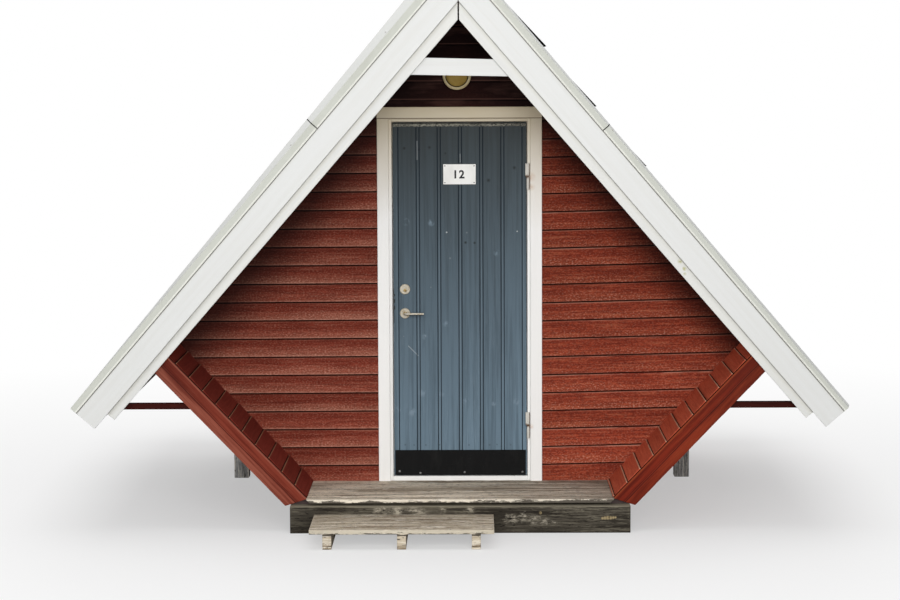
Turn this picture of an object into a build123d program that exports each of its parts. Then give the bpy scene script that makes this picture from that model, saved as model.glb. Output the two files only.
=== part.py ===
from build123d import *
import os
from math import cos, radians, sin, tan

# A small camping cottage of diamond section: a steep roof whose slopes reach down past the
# side walls, side walls that lean outwards from a narrow floor, and a sheltered porch.
# Millimetres, +Z up, the door faces -Y. The origin is on the ground, under the middle of
# the outer box. Heights are measured from the ground.

# Heights and plan
roof_pitch = 49.25
lean_angle = 46.2
barge_apex = 2734
deck_top = 174
floor_half_width = 798
front_overhang = 597
rear_overhang = 300
wall_to_wall = 2365
fit = 0.3

# Base timbers
beam_height = 142
beam_depth = 120
beam_half_length = 880
beam_proud = 6
beam_arris = 3
bearer_top = 154
bearer_height = 98
bearer_width = 60
bearer_spacing = 560
post_width = 85
post_x = 1291
post_setback = 1160

# Porch deck and front step
deck_planks = 5
ledge_planks = 2
deck_gap = 4
deck_plank_width = 114
step_top = 99
step_width = 927
step_x = -291
step_planks = 4
step_gap = 4
step_plank_width = 104
step_plank_thickness = 22
step_bearer_width = 45
step_bearer_inset = 90

# Walls and floor
side_wall_thickness = 100
gable_wall_thickness = 100
floor_thickness = 40
fascia_width = 105
board_thickness = 22
fascia_foot_inner = 172
fascia_foot_outer = 136

# Roof: distances named out are measured square to the slope from the barge line
roof_underside_out = -22
roof_top_ridge = 146
roof_top_eave = 104
roof_length = 2868
eave_underside_out = 8
eave_setback = 10
eave_board_thickness = 15
eave_board_top_out = 102
tile_step = 400
tile_thickness = 30
tile_nose = 21
ridge_leg = 150
sheet_metal = 2

# Barge boards and flashing. The fold and the crest are given at the ridge and at the eave
barge_past_roof = 17
barge_width = 132
barge_lap = 20
lower_board_ridge = 60
lower_board_eave = 47
lower_board_short = 98
apex_gap = 4
lower_apex_gap = 8
flashing_foot_out = 126
flashing_leg = 80
flashing_slant = 45
hem_kick = 5
left_fold = (168, 163)
left_crest = (214, 165)
left_leg_over = 52
right_fold = (166, 152)
right_crest = (178, 165)
right_leg_over = 31
collar_height = 87
collar_middle = 2399
collar_drop = 12
strut_height = 30
strut_depth = 45
strut_middle = 655

# Doorway
opening_half_width = 362.5
opening_top = 2110
sill_top = 198
jamb_width = 42
frame_depth = 92
stop_depth = 15
casing_width = 62
casing_reveal = 15.5
casing_thickness = 20
casing_arris = 2

# Door
leaf_thickness = 45
leaf_recess = 8
door_gap = 5
lock_gap = 6
lock_bevel = 3
groove_middle = 3
groove_pitch = 113.3
groove_pair = 16.5
groove_width = 6
groove_depth = 3.5
kick_plate_height = 136
kick_plate_inset = 4
number_plate_width = 176
number_plate_height = 110
number_plate_middle = 1828
number_plate_corner = 4
pin_x = 366
pin_y = -9
pin_radius = 4
pin_clearance = 0.4
knuckle_radius = 8
hinge_height = 140
upper_hinge_middle = 1815
lower_hinge_middle = 475
knuckle_gap = 2
strap_width = 5
handle_x = -295
handle_height = 1082
lock_rise = 130
rose_radius = 28
rose_thickness = 9
rose_bevel = 3
neck_radius = 8
spindle_clearance = 2
lever_radius = 6.5
lever_length = 108
lever_reach = 48
lever_bevel = 2

# Lamp over the door
lamp_x = -12
lamp_height = 2354
lamp_radius = 76
lamp_lens_radius = 57
lamp_depth = 52
lamp_dome = 22
lamp_lens_taper = 45
lamp_bevel = 8

# Places worked out from the sizes above
step_depth = step_planks * step_plank_width + (step_planks - 1) * step_gap
depth_before_wall = front_overhang + beam_proud + fit + step_depth
flashing_proud = sheet_metal + fit
depth_behind_wall = wall_to_wall + rear_overhang + flashing_proud + hem_kick
wall_y = depth_before_wall - (depth_before_wall + depth_behind_wall) / 2
rear_wall_y = wall_y + wall_to_wall
barge_front = wall_y - front_overhang
roof_front = barge_front + 2 * board_thickness
barge_rear = rear_wall_y + rear_overhang
roof_rear = barge_rear - 2 * board_thickness
lock_height = handle_height + lock_rise
barge_length = roof_length + barge_past_roof
lower_length = barge_length - lower_board_short
soffit_length = lower_length - eave_setback
pitch = radians(roof_pitch)
lean = radians(lean_angle)


def slope_point(along, out):
    """A point down the right-hand roof slope, and out from it, in the gable view."""
    return (along * cos(pitch) + out * sin(pitch), barge_apex - along * sin(pitch) + out * cos(pitch))


def slope_height(x, out):
    """The height of a line at distance out from the barge line, above x."""
    return barge_apex + out / cos(pitch) - x * tan(pitch)


def slope_x(height, out):
    """Where a line at distance out from the barge line reaches a height."""
    return (barge_apex + out / cos(pitch) - height) / tan(pitch)


def lean_x(height, out=0):
    """The face of the right-hand side wall at a height, or a line outside it."""
    return floor_half_width + (height - deck_top) / tan(lean) + out / sin(lean)


def meet(wall_out, roof_out):
    """Where a line of the side wall meets a line of the roof slope."""
    foot = lean_x(0, wall_out)
    x = (barge_apex + roof_out / cos(pitch) + foot * tan(lean)) / (tan(pitch) + tan(lean))
    return (x, slope_height(x, roof_out))


def roof_out(along):
    """How far out the top of the slab lies: it falls a little faster than the barge boards."""
    return roof_top_ridge - (roof_top_ridge - roof_top_eave) * along / roof_length


def roof_point(along, over):
    """A point down the right-hand slope, over the top of the slab."""
    return slope_point(along, roof_out(along) + over)


def roof_height(x, over):
    """The height of a line over the top of the slab, above x."""
    top, foot = roof_point(0, over), roof_point(roof_length, over)
    return top[1] + (x - top[0]) * (foot[1] - top[1]) / (foot[0] - top[0])


def gable_plane(y):
    """A plane facing the front, on which x is across and y is up."""
    return Plane.XZ.offset(-y)


def save(solid, name):
    solid.label = name
    export_step(solid, f"parts/{name}.step")


os.makedirs("parts", exist_ok=True)

# Base: beams across the front and rear lie on the ground, with bearers between them
front_beam_y = barge_front - beam_proud
rear_beam_y = roof_rear
for name, y in (("front_beam", front_beam_y + beam_depth), ("rear_beam", rear_beam_y)):
    with BuildPart() as beam:
        with BuildSketch(gable_plane(y)):
            with Locations((0, beam_height / 2)):
                Rectangle(2 * beam_half_length, beam_height)
        extrude(amount=beam_depth)
        chamfer(beam.edges().filter_by(Axis.X), beam_arris)
    save(beam.part, name)

bearer_front = front_beam_y + beam_depth
bearer_length = rear_beam_y - beam_depth - bearer_front
with BuildPart() as floor_bearers:
    with BuildSketch(gable_plane(bearer_front + bearer_length)):
        with Locations((0, bearer_top - bearer_height / 2)):
            with GridLocations(bearer_spacing, 0, 3, 1):
                Rectangle(bearer_width, bearer_height)
    extrude(amount=bearer_length)
save(floor_bearers.part, "floor_bearers")

# Posts under the middle of the leaning side walls, their tops cut to the lean
with BuildPart() as side_posts:
    with BuildSketch(gable_plane(rear_wall_y - post_setback)):
        for side in (1, -1):
            inner = post_x - post_width / 2
            outer = post_x + post_width / 2
            inner_top = deck_top + (inner - lean_x(deck_top, side_wall_thickness + fit)) * tan(lean)
            outer_top = inner_top + post_width * tan(lean)
            with BuildLine():
                Polyline(
                    (side * inner, 0), (side * outer, 0), (side * outer, outer_top),
                    (side * inner, inner_top), close=True,
                )
            make_face()
    extrude(amount=post_width)
save(side_posts.part, "side_posts")

# Planks of the porch and of the ledge at the rear, their ends cut to the lean of the side walls
porch_backs = [wall_y - fit - row * (deck_plank_width + deck_gap) for row in range(deck_planks)]
ledge_backs = [
    rear_wall_y + fit + deck_plank_width + row * (deck_plank_width + deck_gap) for row in range(ledge_planks)
]
for name, backs in (("porch_deck", porch_backs), ("rear_ledge", ledge_backs)):
    with BuildPart() as planks:
        for plank_back in backs:
            with BuildSketch(gable_plane(plank_back)):
                with BuildLine():
                    Polyline(
                        (-lean_x(bearer_top) + fit, bearer_top), (lean_x(bearer_top) - fit, bearer_top),
                        (lean_x(deck_top) - fit, deck_top), (-lean_x(deck_top) + fit, deck_top), close=True,
                    )
                make_face()
            extrude(amount=deck_plank_width)
    save(planks.part, name)

# Front step, set to the left of the door: planks on bearers that lie on the ground
step_back = front_beam_y - fit
with BuildPart() as front_step:
    step_bearer_height = step_top - step_plank_thickness
    with BuildSketch(Plane.XY):
        with Locations((step_x, step_back - step_depth / 2)):
            with GridLocations((step_width - 2 * step_bearer_inset) / 2, 0, 3, 1):
                Rectangle(step_bearer_width, step_depth)
    extrude(amount=step_bearer_height)
    with BuildSketch(Plane.XY.offset(step_bearer_height)):
        with Locations((step_x, step_back - step_depth / 2)):
            with GridLocations(0, step_plank_width + step_gap, 1, step_planks):
                Rectangle(step_width, step_plank_width)
    extrude(amount=step_plank_thickness)
save(front_step.part, "front_step")

# Floor between the gable walls
floor_front = wall_y + gable_wall_thickness + fit
floor_length = wall_to_wall - 2 * gable_wall_thickness - 2 * fit
floor_top = bearer_top + floor_thickness
with BuildPart() as floor:
    with BuildSketch(gable_plane(floor_front + floor_length)):
        with BuildLine():
            Polyline(
                (-lean_x(bearer_top) + fit, bearer_top), (lean_x(bearer_top) - fit, bearer_top),
                (lean_x(floor_top) - fit, floor_top), (-lean_x(floor_top) + fit, floor_top), close=True,
            )
        make_face()
    extrude(amount=floor_length)
save(floor.part, "floor")

# Side walls, leaning outwards up to the underside of the roof
side_front = roof_front + board_thickness
side_length = roof_rear - board_thickness - side_front
with BuildPart() as lower_wall_right:
    with BuildSketch(gable_plane(side_front + side_length)):
        with BuildLine():
            Polyline(
                (lean_x(beam_height), beam_height),
                (lean_x(beam_height, side_wall_thickness), beam_height),
                meet(side_wall_thickness, roof_underside_out),
                meet(0, roof_underside_out), close=True,
            )
        make_face()
    extrude(amount=side_length)
save(lower_wall_right.part, "lower_wall_right")
with BuildPart() as lower_wall_left:
    mirror(lower_wall_right.part, about=Plane.YZ)
save(lower_wall_left.part, "lower_wall_left")


def fascia_outline():
    """The board on the end of the right-hand side wall, cut slanting at its foot."""
    return [
        (lean_x(fascia_foot_inner), fascia_foot_inner),
        (lean_x(fascia_foot_outer, fascia_width), fascia_foot_outer),
        meet(fascia_width, roof_underside_out),
        meet(0, roof_underside_out),
    ]


with BuildPart() as fascia_front_right:
    with BuildSketch(gable_plane(side_front)):
        with BuildLine():
            Polyline(*fascia_outline(), close=True)
        make_face()
    extrude(amount=board_thickness)
save(fascia_front_right.part, "fascia_front_right")
with BuildPart() as fascia_front_left:
    mirror(fascia_front_right.part, about=Plane.YZ)
save(fascia_front_left.part, "fascia_front_left")

with BuildPart() as fascia_rear:
    with BuildSketch(gable_plane(roof_rear)):
        with BuildLine():
            Polyline(*fascia_outline(), close=True)
        make_face()
        mirror(about=Plane.YZ)
    extrude(amount=board_thickness)
save(fascia_rear.part, "fascia_rear")

# Gable walls. The front one is split beside and over the doorway
jamb_outer = opening_half_width + jamb_width
head_top = opening_top + jamb_width
wall_edge = jamb_outer + fit
knee = meet(0, roof_underside_out)
with BuildPart() as front_wall_right:
    with BuildSketch(gable_plane(wall_y + gable_wall_thickness)):
        with BuildLine():
            Polyline(
                (wall_edge, bearer_top), (lean_x(bearer_top), bearer_top), knee,
                (wall_edge, slope_height(wall_edge, roof_underside_out)), close=True,
            )
        make_face()
    extrude(amount=gable_wall_thickness)
save(front_wall_right.part, "front_wall_right")
with BuildPart() as front_wall_left:
    mirror(front_wall_right.part, about=Plane.YZ)
save(front_wall_left.part, "front_wall_left")

with BuildPart() as front_wall_top:
    with BuildSketch(gable_plane(wall_y + gable_wall_thickness)):
        side_height = slope_height(wall_edge, roof_underside_out)
        with BuildLine():
            Polyline(
                (-wall_edge, head_top + fit), (wall_edge, head_top + fit), (wall_edge, side_height),
                (0, slope_height(0, roof_underside_out)), (-wall_edge, side_height), close=True,
            )
        make_face()
    extrude(amount=gable_wall_thickness)
save(front_wall_top.part, "front_wall_top")

with BuildPart() as rear_wall:
    with BuildSketch(gable_plane(rear_wall_y)):
        with BuildLine():
            Polyline(
                (-lean_x(bearer_top), bearer_top), (lean_x(bearer_top), bearer_top), knee,
                (0, slope_height(0, roof_underside_out)), (-knee[0], knee[1]), close=True,
            )
        make_face()
    extrude(amount=gable_wall_thickness)
save(rear_wall.part, "rear_wall")

# Door frame: jambs, head and sill with a stop behind the leaf
frame_back = wall_y + frame_depth
stop_front = wall_y + leaf_recess + leaf_thickness + door_gap
stop_length = frame_back - stop_front
frame_foot = bearer_top
with BuildPart() as jamb_right:
    with BuildSketch(Plane.XY.offset(frame_foot)):
        with Locations((opening_half_width, wall_y)):
            Rectangle(jamb_width, frame_depth, align=(Align.MIN, Align.MIN))
        with Locations((opening_half_width, stop_front)):
            Rectangle(stop_depth, stop_length, align=(Align.MAX, Align.MIN))
    extrude(amount=head_top - frame_foot)
save(jamb_right.part, "jamb_right")
with BuildPart() as jamb_left:
    mirror(jamb_right.part, about=Plane.YZ)
save(jamb_left.part, "jamb_left")

head_half = opening_half_width - fit
stop_half = opening_half_width - stop_depth - fit
for name, low, high, stop_side in (
    ("frame_head", opening_top, head_top, -1),
    ("frame_sill", frame_foot, sill_top, 1),
):
    with BuildPart() as rail:
        with BuildSketch(Plane.XY.offset(low)):
            with Locations((0, wall_y)):
                Rectangle(2 * head_half, stop_front - wall_y, align=(Align.CENTER, Align.MIN))
            with Locations((0, stop_front)):
                Rectangle(2 * stop_half, stop_length, align=(Align.CENTER, Align.MIN))
        extrude(amount=high - low)
        edge = high if stop_side > 0 else low - stop_depth
        with BuildSketch(Plane.XY.offset(edge)):
            with Locations((0, stop_front)):
                Rectangle(2 * stop_half, stop_length, align=(Align.CENTER, Align.MIN))
        extrude(amount=stop_depth)
    save(rail.part, name)

# Casings round the doorway, nailed on the face of the wall
casing_inner = opening_half_width + casing_reveal
casing_outer = casing_inner + casing_width
casing_foot = deck_top + fit
casing_head_foot = opening_top + casing_reveal
with BuildPart() as casing_right:
    with BuildSketch(Plane.XY.offset(casing_foot)):
        with Locations((casing_inner, wall_y - fit)):
            Rectangle(casing_width, casing_thickness, align=(Align.MIN, Align.MAX))
    extrude(amount=casing_head_foot - casing_foot)
    chamfer(casing_right.edges().filter_by(Axis.Z).group_by(Axis.Y)[0], casing_arris)
save(casing_right.part, "casing_right")
with BuildPart() as casing_left:
    mirror(casing_right.part, about=Plane.YZ)
save(casing_left.part, "casing_left")
with BuildPart() as casing_head:
    with BuildSketch(Plane.XY.offset(casing_head_foot + fit)):
        with Locations((0, wall_y - fit)):
            Rectangle(2 * casing_outer, casing_thickness, align=(Align.CENTER, Align.MAX))
    extrude(amount=casing_width)
    chamfer(casing_head.edges().filter_by(Axis.X).group_by(Axis.Y)[0], casing_arris)
save(casing_head.part, "casing_head")

# Door leaf with pairs of V grooves, its lock edge bevelled so that it swings clear
leaf_front = wall_y + leaf_recess
leaf_back = leaf_front + leaf_thickness
leaf_hinge_edge = opening_half_width - door_gap
leaf_lock_edge = -opening_half_width + lock_gap
leaf_foot = sill_top + door_gap
leaf_head = opening_top - door_gap
groove_places = [(step - 2) * groove_pitch + side * groove_pair / 2 for step in range(5) for side in (-1, 1)]
groove_places += [side * (3 * groove_pitch - groove_pair / 2) for side in (-1, 1)]
spindle_hole = neck_radius + spindle_clearance
with BuildPart() as door_leaf:
    with BuildSketch(Plane.XY.offset(leaf_foot)):
        with BuildLine():
            Polyline(
                (leaf_lock_edge, leaf_front), (leaf_hinge_edge, leaf_front), (leaf_hinge_edge, leaf_back),
                (leaf_lock_edge + lock_bevel, leaf_back), close=True,
            )
        make_face()
        for place in groove_places:
            x = groove_middle + place
            with BuildLine():
                Polyline(
                    (x - groove_width / 2, leaf_front), (x + groove_width / 2, leaf_front),
                    (x, leaf_front + groove_depth), close=True,
                )
            make_face(mode=Mode.SUBTRACT)
    extrude(amount=leaf_head - leaf_foot)
    with BuildSketch(gable_plane(leaf_back)):
        with Locations((handle_x, handle_height)):
            Circle(spindle_hole)
    extrude(amount=leaf_thickness, mode=Mode.SUBTRACT)
save(door_leaf.part, "door_leaf")

with BuildPart() as kick_plate:
    plate_left = leaf_lock_edge + kick_plate_inset
    plate_right = leaf_hinge_edge - kick_plate_inset
    with BuildSketch(gable_plane(leaf_front - fit)):
        with Locations(((plate_left + plate_right) / 2, leaf_foot + kick_plate_height / 2)):
            Rectangle(plate_right - plate_left, kick_plate_height)
    extrude(amount=sheet_metal)
save(kick_plate.part, "kick_plate")

with BuildPart() as number_plate:
    with BuildSketch(gable_plane(leaf_front - fit)):
        with Locations((0, number_plate_middle)):
            RectangleRounded(number_plate_width, number_plate_height, number_plate_corner)
    extrude(amount=sheet_metal)
save(number_plate.part, "number_plate")

# Lift-off hinges: the lower knuckle and pin are on the frame, the upper knuckle on the leaf
pin_place = (pin_x, wall_y + pin_y)
knuckle_height = (hinge_height - knuckle_gap) / 2
strap_edge = leaf_hinge_edge - fit
with BuildPart() as hinge_frame:
    for middle in (upper_hinge_middle, lower_hinge_middle):
        with BuildSketch(Plane.XY.offset(middle - hinge_height / 2)):
            with Locations(pin_place):
                Circle(knuckle_radius)
            with Locations((pin_x + knuckle_radius / 2, wall_y - fit)):
                Rectangle(knuckle_radius, -pin_y - fit, align=(Align.CENTER, Align.MAX))
        extrude(amount=knuckle_height)
        with BuildSketch(Plane.XY.offset(middle - hinge_height / 2 + knuckle_height)):
            with Locations(pin_place):
                Circle(pin_radius)
        extrude(amount=knuckle_height)
save(hinge_frame.part, "hinge_frame")

with BuildPart() as hinge_door:
    for middle in (upper_hinge_middle, lower_hinge_middle):
        with BuildSketch(Plane.XY.offset(middle + knuckle_gap / 2)):
            with Locations((pin_x, wall_y + pin_y)):
                Circle(knuckle_radius)
                Rectangle(pin_x - strap_edge + strap_width, knuckle_radius, align=(Align.MAX, Align.CENTER))
            with Locations((strap_edge, leaf_front - fit)):
                Rectangle(strap_width, leaf_recess - pin_y - fit, align=(Align.MAX, Align.MAX))
            with Locations(pin_place):
                Circle(pin_radius + pin_clearance, mode=Mode.SUBTRACT)
        extrude(amount=knuckle_height)
save(hinge_door.part, "hinge_door")

# Lock and handle: round roses on both faces and one lever through the leaf
with BuildPart() as lock_roses:
    for place in (leaf_front - fit, leaf_back + fit + rose_thickness):
        with BuildSketch(gable_plane(place)):
            with Locations((handle_x, lock_height)):
                Circle(rose_radius)
        extrude(amount=rose_thickness)
    chamfer(lock_roses.faces().filter_by(Axis.Y).sort_by(Axis.Y)[0].edges(), rose_bevel)
    chamfer(lock_roses.faces().filter_by(Axis.Y).sort_by(Axis.Y)[-1].edges(), rose_bevel)
save(lock_roses.part, "lock_roses")

with BuildPart() as handle_roses:
    for place in (leaf_front - fit, leaf_back + fit + rose_thickness):
        with BuildSketch(gable_plane(place)):
            with Locations((handle_x, handle_height)):
                Circle(rose_radius)
                Circle(neck_radius + pin_clearance, mode=Mode.SUBTRACT)
        extrude(amount=rose_thickness)
save(handle_roses.part, "handle_roses")

lever_front = leaf_front - rose_thickness - lever_reach
lever_rear = leaf_back + rose_thickness + lever_reach
with BuildPart() as lever_handle:
    with BuildSketch(gable_plane(lever_rear)):
        with Locations((handle_x, handle_height)):
            Circle(neck_radius)
    extrude(amount=lever_rear - lever_front)
    with BuildSketch(Plane.YZ.offset(handle_x)):
        with Locations((lever_front + lever_radius, handle_height), (lever_rear - lever_radius, handle_height)):
            Circle(lever_radius)
    extrude(amount=lever_length)
    chamfer(lever_handle.faces().filter_by(Axis.X).sort_by(Axis.X)[-2:].edges(), lever_bevel)
save(lever_handle.part, "lever_handle")

# Round lamp on the wall above the door
with BuildPart() as lamp_base:
    with BuildSketch(gable_plane(wall_y - fit)):
        with Locations((lamp_x, lamp_height)):
            Circle(lamp_radius)
    extrude(amount=lamp_depth)
    chamfer(lamp_base.faces().sort_by(Axis.Y)[0].edges(), lamp_bevel)
save(lamp_base.part, "lamp_base")
with BuildPart() as lamp_lens:
    with BuildSketch(gable_plane(wall_y - lamp_depth - 2 * fit)):
        with Locations((lamp_x, lamp_height)):
            Circle(lamp_lens_radius)
    extrude(amount=lamp_dome, taper=lamp_lens_taper)
save(lamp_lens.part, "lamp_lens")

# Roof slabs of boards, insulation and battens, meeting on the ridge line
with BuildPart() as roof_right:
    with BuildSketch(gable_plane(roof_rear)):
        with BuildLine():
            Polyline(
                (0, slope_height(0, roof_underside_out)), (0, roof_height(0, 0)),
                roof_point(roof_length, 0), slope_point(roof_length, eave_underside_out),
                slope_point(soffit_length, eave_underside_out), slope_point(soffit_length, roof_underside_out),
                close=True,
            )
        make_face()
    extrude(amount=roof_rear - roof_front)
save(roof_right.part, "roof_right")
with BuildPart() as roof_left:
    mirror(roof_right.part, about=Plane.YZ)
save(roof_left.part, "roof_left")

# Eave boards over the lower ends of the slabs, from one wide barge board to the other
eave_board_start = roof_length + fit
eave_board_end = eave_board_start + eave_board_thickness
with BuildPart() as eave_boards:
    with BuildSketch(gable_plane(barge_rear - board_thickness - fit)):
        with BuildLine():
            Polyline(
                slope_point(eave_board_start, eave_underside_out),
                slope_point(eave_board_start, eave_board_top_out),
                slope_point(eave_board_end, eave_board_top_out),
                slope_point(eave_board_end, eave_underside_out), close=True,
            )
        make_face()
        mirror(about=Plane.YZ)
    extrude(amount=barge_rear - barge_front - 2 * (board_thickness + fit))
save(eave_boards.part, "eave_boards")

# Steel sheets pressed as courses of tiles: each course ends in a nose over the next
sheet_front = barge_front + flashing_leg + fit
sheet_rear = barge_rear - flashing_leg - fit
courses = int(roof_length // tile_step)
course_starts = [roof_length - (courses - step) * tile_step for step in range(courses)]
sheet_top = fit + tile_thickness
outline = [roof_point(course_starts[0], sheet_top)]
for start in course_starts:
    outline.append(roof_point(start + tile_step, sheet_top + tile_nose))
    outline.append(roof_point(start + tile_step, sheet_top))
ridge_point = (fit, roof_height(fit, sheet_top))
with BuildPart() as roof_sheet_right:
    with BuildSketch(gable_plane(sheet_rear)):
        with BuildLine():
            Polyline(
                (fit, roof_height(fit, fit)), ridge_point, *outline,
                roof_point(roof_length, fit), close=True,
            )
        make_face()
    extrude(amount=sheet_rear - sheet_front)
save(roof_sheet_right.part, "roof_sheet_right")
with BuildPart() as roof_sheet_left:
    mirror(roof_sheet_right.part, about=Plane.YZ)
save(roof_sheet_left.part, "roof_sheet_left")

# Ridge cap, its lower edges lying on the rise of the top course
cap_rise = tile_nose * max(ridge_leg - course_starts[0], 0) / tile_step
cap_under = sheet_top + cap_rise + fit
with BuildPart() as ridge_cap:
    with BuildSketch(gable_plane(sheet_rear)):
        with BuildLine():
            Polyline(
                (0, roof_height(0, cap_under)), roof_point(ridge_leg, cap_under),
                roof_point(ridge_leg, cap_under + sheet_metal), (0, roof_height(0, cap_under + sheet_metal)),
                close=True,
            )
        make_face()
        mirror(about=Plane.YZ)
    extrude(amount=sheet_rear - sheet_front)
save(ridge_cap.part, "ridge_cap")


def board_outline(length, inner_ridge, inner_eave, outer, gap):
    """A board down the right-hand slope, cut upright at the apex and square at the eave."""
    return [
        (gap / 2, slope_height(gap / 2, inner_ridge)),
        (gap / 2, slope_height(gap / 2, outer)),
        slope_point(length, outer),
        slope_point(length, inner_eave),
    ]


# Barge boards: a narrow lower board behind and a wide board lapping over it
wide_outline = board_outline(barge_length, 0, 0, barge_width, apex_gap)
lower_outline = board_outline(
    lower_length, -lower_board_ridge, -lower_board_eave, barge_lap, lower_apex_gap,
)
for name, y, outline in (
    ("barge_board", barge_front + board_thickness, wide_outline),
    ("barge_lower_board", roof_front, lower_outline),
):
    with BuildPart() as right_board:
        with BuildSketch(gable_plane(y)):
            with BuildLine():
                Polyline(*outline, close=True)
            make_face()
        extrude(amount=board_thickness)
    save(right_board.part, f"{name}_front_right")
    with BuildPart() as left_board:
        mirror(right_board.part, about=Plane.YZ)
    save(left_board.part, f"{name}_front_left")

for name, y, outline in (
    ("barge_boards_rear", barge_rear, wide_outline),
    ("barge_lower_boards_rear", barge_rear - board_thickness, lower_outline),
):
    with BuildPart() as rear_boards:
        with BuildSketch(gable_plane(y)):
            with BuildLine():
                Polyline(*outline, close=True)
            make_face()
            mirror(about=Plane.YZ)
        extrude(amount=board_thickness)
    save(rear_boards.part, name)

# Flashing: a folded strip down the face of the barge board, slanting up to a crest and back over
# the edge of the roof. The left one stands higher, and both sink toward the eave
flash_plane = Plane(
    origin=(0, 0, barge_apex), x_dir=(0, 1, 0), z_dir=(cos(pitch), 0, -sin(pitch)),
)
flashing_start = -2 * left_crest[0]


def flashing_section(face, toward, fold, crest, rest):
    """The folded section: a kicked hem, the drop over a board's face, a slant and a leg over the roof."""
    out_face = face - toward * flashing_proud
    in_face = face - toward * fit
    leg_end = face + toward * flashing_leg
    bend = out_face + toward * flashing_slant
    return [
        (out_face - toward * hem_kick, flashing_foot_out), (out_face, flashing_foot_out + hem_kick),
        (out_face, fold), (bend, crest), (leg_end, rest), (leg_end, rest - sheet_metal),
        (bend, crest - sheet_metal), (in_face, fold - sheet_metal),
        (in_face, flashing_foot_out + hem_kick), (in_face - toward * hem_kick, flashing_foot_out),
    ]


def line_at(ends, along):
    """A line given by its values at the ridge and at the eave."""
    return ends[0] + (ends[1] - ends[0]) * along / barge_length


for name, face, toward in (("flashing_front", barge_front, 1), ("flashing_rear", barge_rear, -1)):
    for side, fold, crest, leg_over in (
        ("right", right_fold, right_crest, right_leg_over), ("left", left_fold, left_crest, left_leg_over),
    ):
        with BuildPart() as strip:
            for along in (flashing_start, barge_length):
                with BuildSketch(flash_plane.offset(along)):
                    with BuildLine():
                        Polyline(
                            *flashing_section(
                                face, toward, line_at(fold, along), line_at(crest, along),
                                roof_out(along) + leg_over,
                            ),
                            close=True,
                        )
                    make_face()
            loft(ruled=True)
            split(bisect_by=Plane.YZ.offset(apex_gap / 2), keep=Keep.TOP)
        if side == "right":
            save(strip.part, f"{name}_right")
        else:
            with BuildPart() as flashing_left:
                mirror(strip.part, about=Plane.YZ)
            save(flashing_left.part, f"{name}_left")

# Collar boards between the slopes, the front one a little lower at its right end, and struts
# from the side walls to the eaves
with BuildPart() as collar_boards:
    for y, drop in ((roof_front + board_thickness, collar_drop), (roof_rear, 0)):
        corners = []
        for side, rise in ((-1, -1), (1, -1), (1, 1), (-1, 1)):
            height = collar_middle - side * drop / 2 + rise * collar_height / 2
            corners.append((side * slope_x(height, roof_underside_out), height))
        with BuildSketch(gable_plane(y)):
            with BuildLine():
                Polyline(*corners, close=True)
            make_face()
        extrude(amount=board_thickness)
save(collar_boards.part, "collar_boards")

strut_foot = strut_middle - strut_height / 2
strut_top = strut_middle + strut_height / 2
with BuildPart() as eave_struts:
    for y in (side_front + strut_depth, side_front + side_length):
        with BuildSketch(gable_plane(y)):
            with BuildLine():
                Polyline(
                    (lean_x(strut_foot, side_wall_thickness), strut_foot),
                    (slope_x(strut_foot, roof_underside_out), strut_foot),
                    (slope_x(strut_top, roof_underside_out), strut_top),
                    (lean_x(strut_top, side_wall_thickness), strut_top), close=True,
                )
            make_face()
            mirror(about=Plane.YZ)
        extrude(amount=strut_depth)
save(eave_struts.part, "eave_struts")
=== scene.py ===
import math

import bmesh
import bpy
from mathutils import Matrix, Vector

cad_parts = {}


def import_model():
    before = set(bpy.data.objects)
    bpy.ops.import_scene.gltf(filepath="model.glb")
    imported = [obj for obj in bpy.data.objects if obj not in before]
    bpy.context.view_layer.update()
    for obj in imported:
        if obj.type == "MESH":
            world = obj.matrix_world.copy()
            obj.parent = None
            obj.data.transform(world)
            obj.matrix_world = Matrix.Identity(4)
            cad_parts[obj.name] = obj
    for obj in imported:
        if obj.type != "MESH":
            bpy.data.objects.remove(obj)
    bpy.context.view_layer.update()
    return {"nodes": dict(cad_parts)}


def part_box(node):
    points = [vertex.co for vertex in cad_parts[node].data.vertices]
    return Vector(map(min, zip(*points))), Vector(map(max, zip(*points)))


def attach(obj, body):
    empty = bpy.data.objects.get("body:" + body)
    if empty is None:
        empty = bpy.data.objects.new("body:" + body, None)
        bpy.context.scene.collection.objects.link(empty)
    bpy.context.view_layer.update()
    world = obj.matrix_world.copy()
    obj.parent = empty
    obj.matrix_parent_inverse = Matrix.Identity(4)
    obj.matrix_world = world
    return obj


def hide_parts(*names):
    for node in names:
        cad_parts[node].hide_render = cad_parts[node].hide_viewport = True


# A small camping cottage: red boarded gables and leaning side walls, white barge boards,
# a steel tile roof, a plank door and a weathered deck. Metres, +Z up, the door faces -Y.

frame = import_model()
print("frame loaded:", len(frame["nodes"]), "nodes")

# Main lines of the cottage, most of them read from the frame
house = {
    "roofPitch": math.radians(49.25),
    "wallLean": math.radians(46.2),
    "bargeApex": 2.734,                                   # lower edges of the wide barge boards meet here
    "deckTop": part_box("porch_deck")[1].z,
    "floorHalf": 0.798,
    "wallY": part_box("front_wall_left")[0].y,
    "rearY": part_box("rear_wall")[1].y,
    "roofFront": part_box("roof_left")[0].y,
    "roofRear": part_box("roof_left")[1].y,
    "sideFront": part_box("lower_wall_left")[0].y,
    "sideRear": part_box("lower_wall_left")[1].y,
    "roofUnder": -0.022,                                  # out from the barge line, square to the slope
    "roofLength": 2.868,
    "soffitEnd": 2.777,
    "wallThick": 0.1,
}
cosPitch, sinPitch = math.cos(house["roofPitch"]), math.sin(house["roofPitch"])
cosLean, sinLean = math.cos(house["wallLean"]), math.sin(house["wallLean"])
leafLow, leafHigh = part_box("door_leaf")


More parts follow.
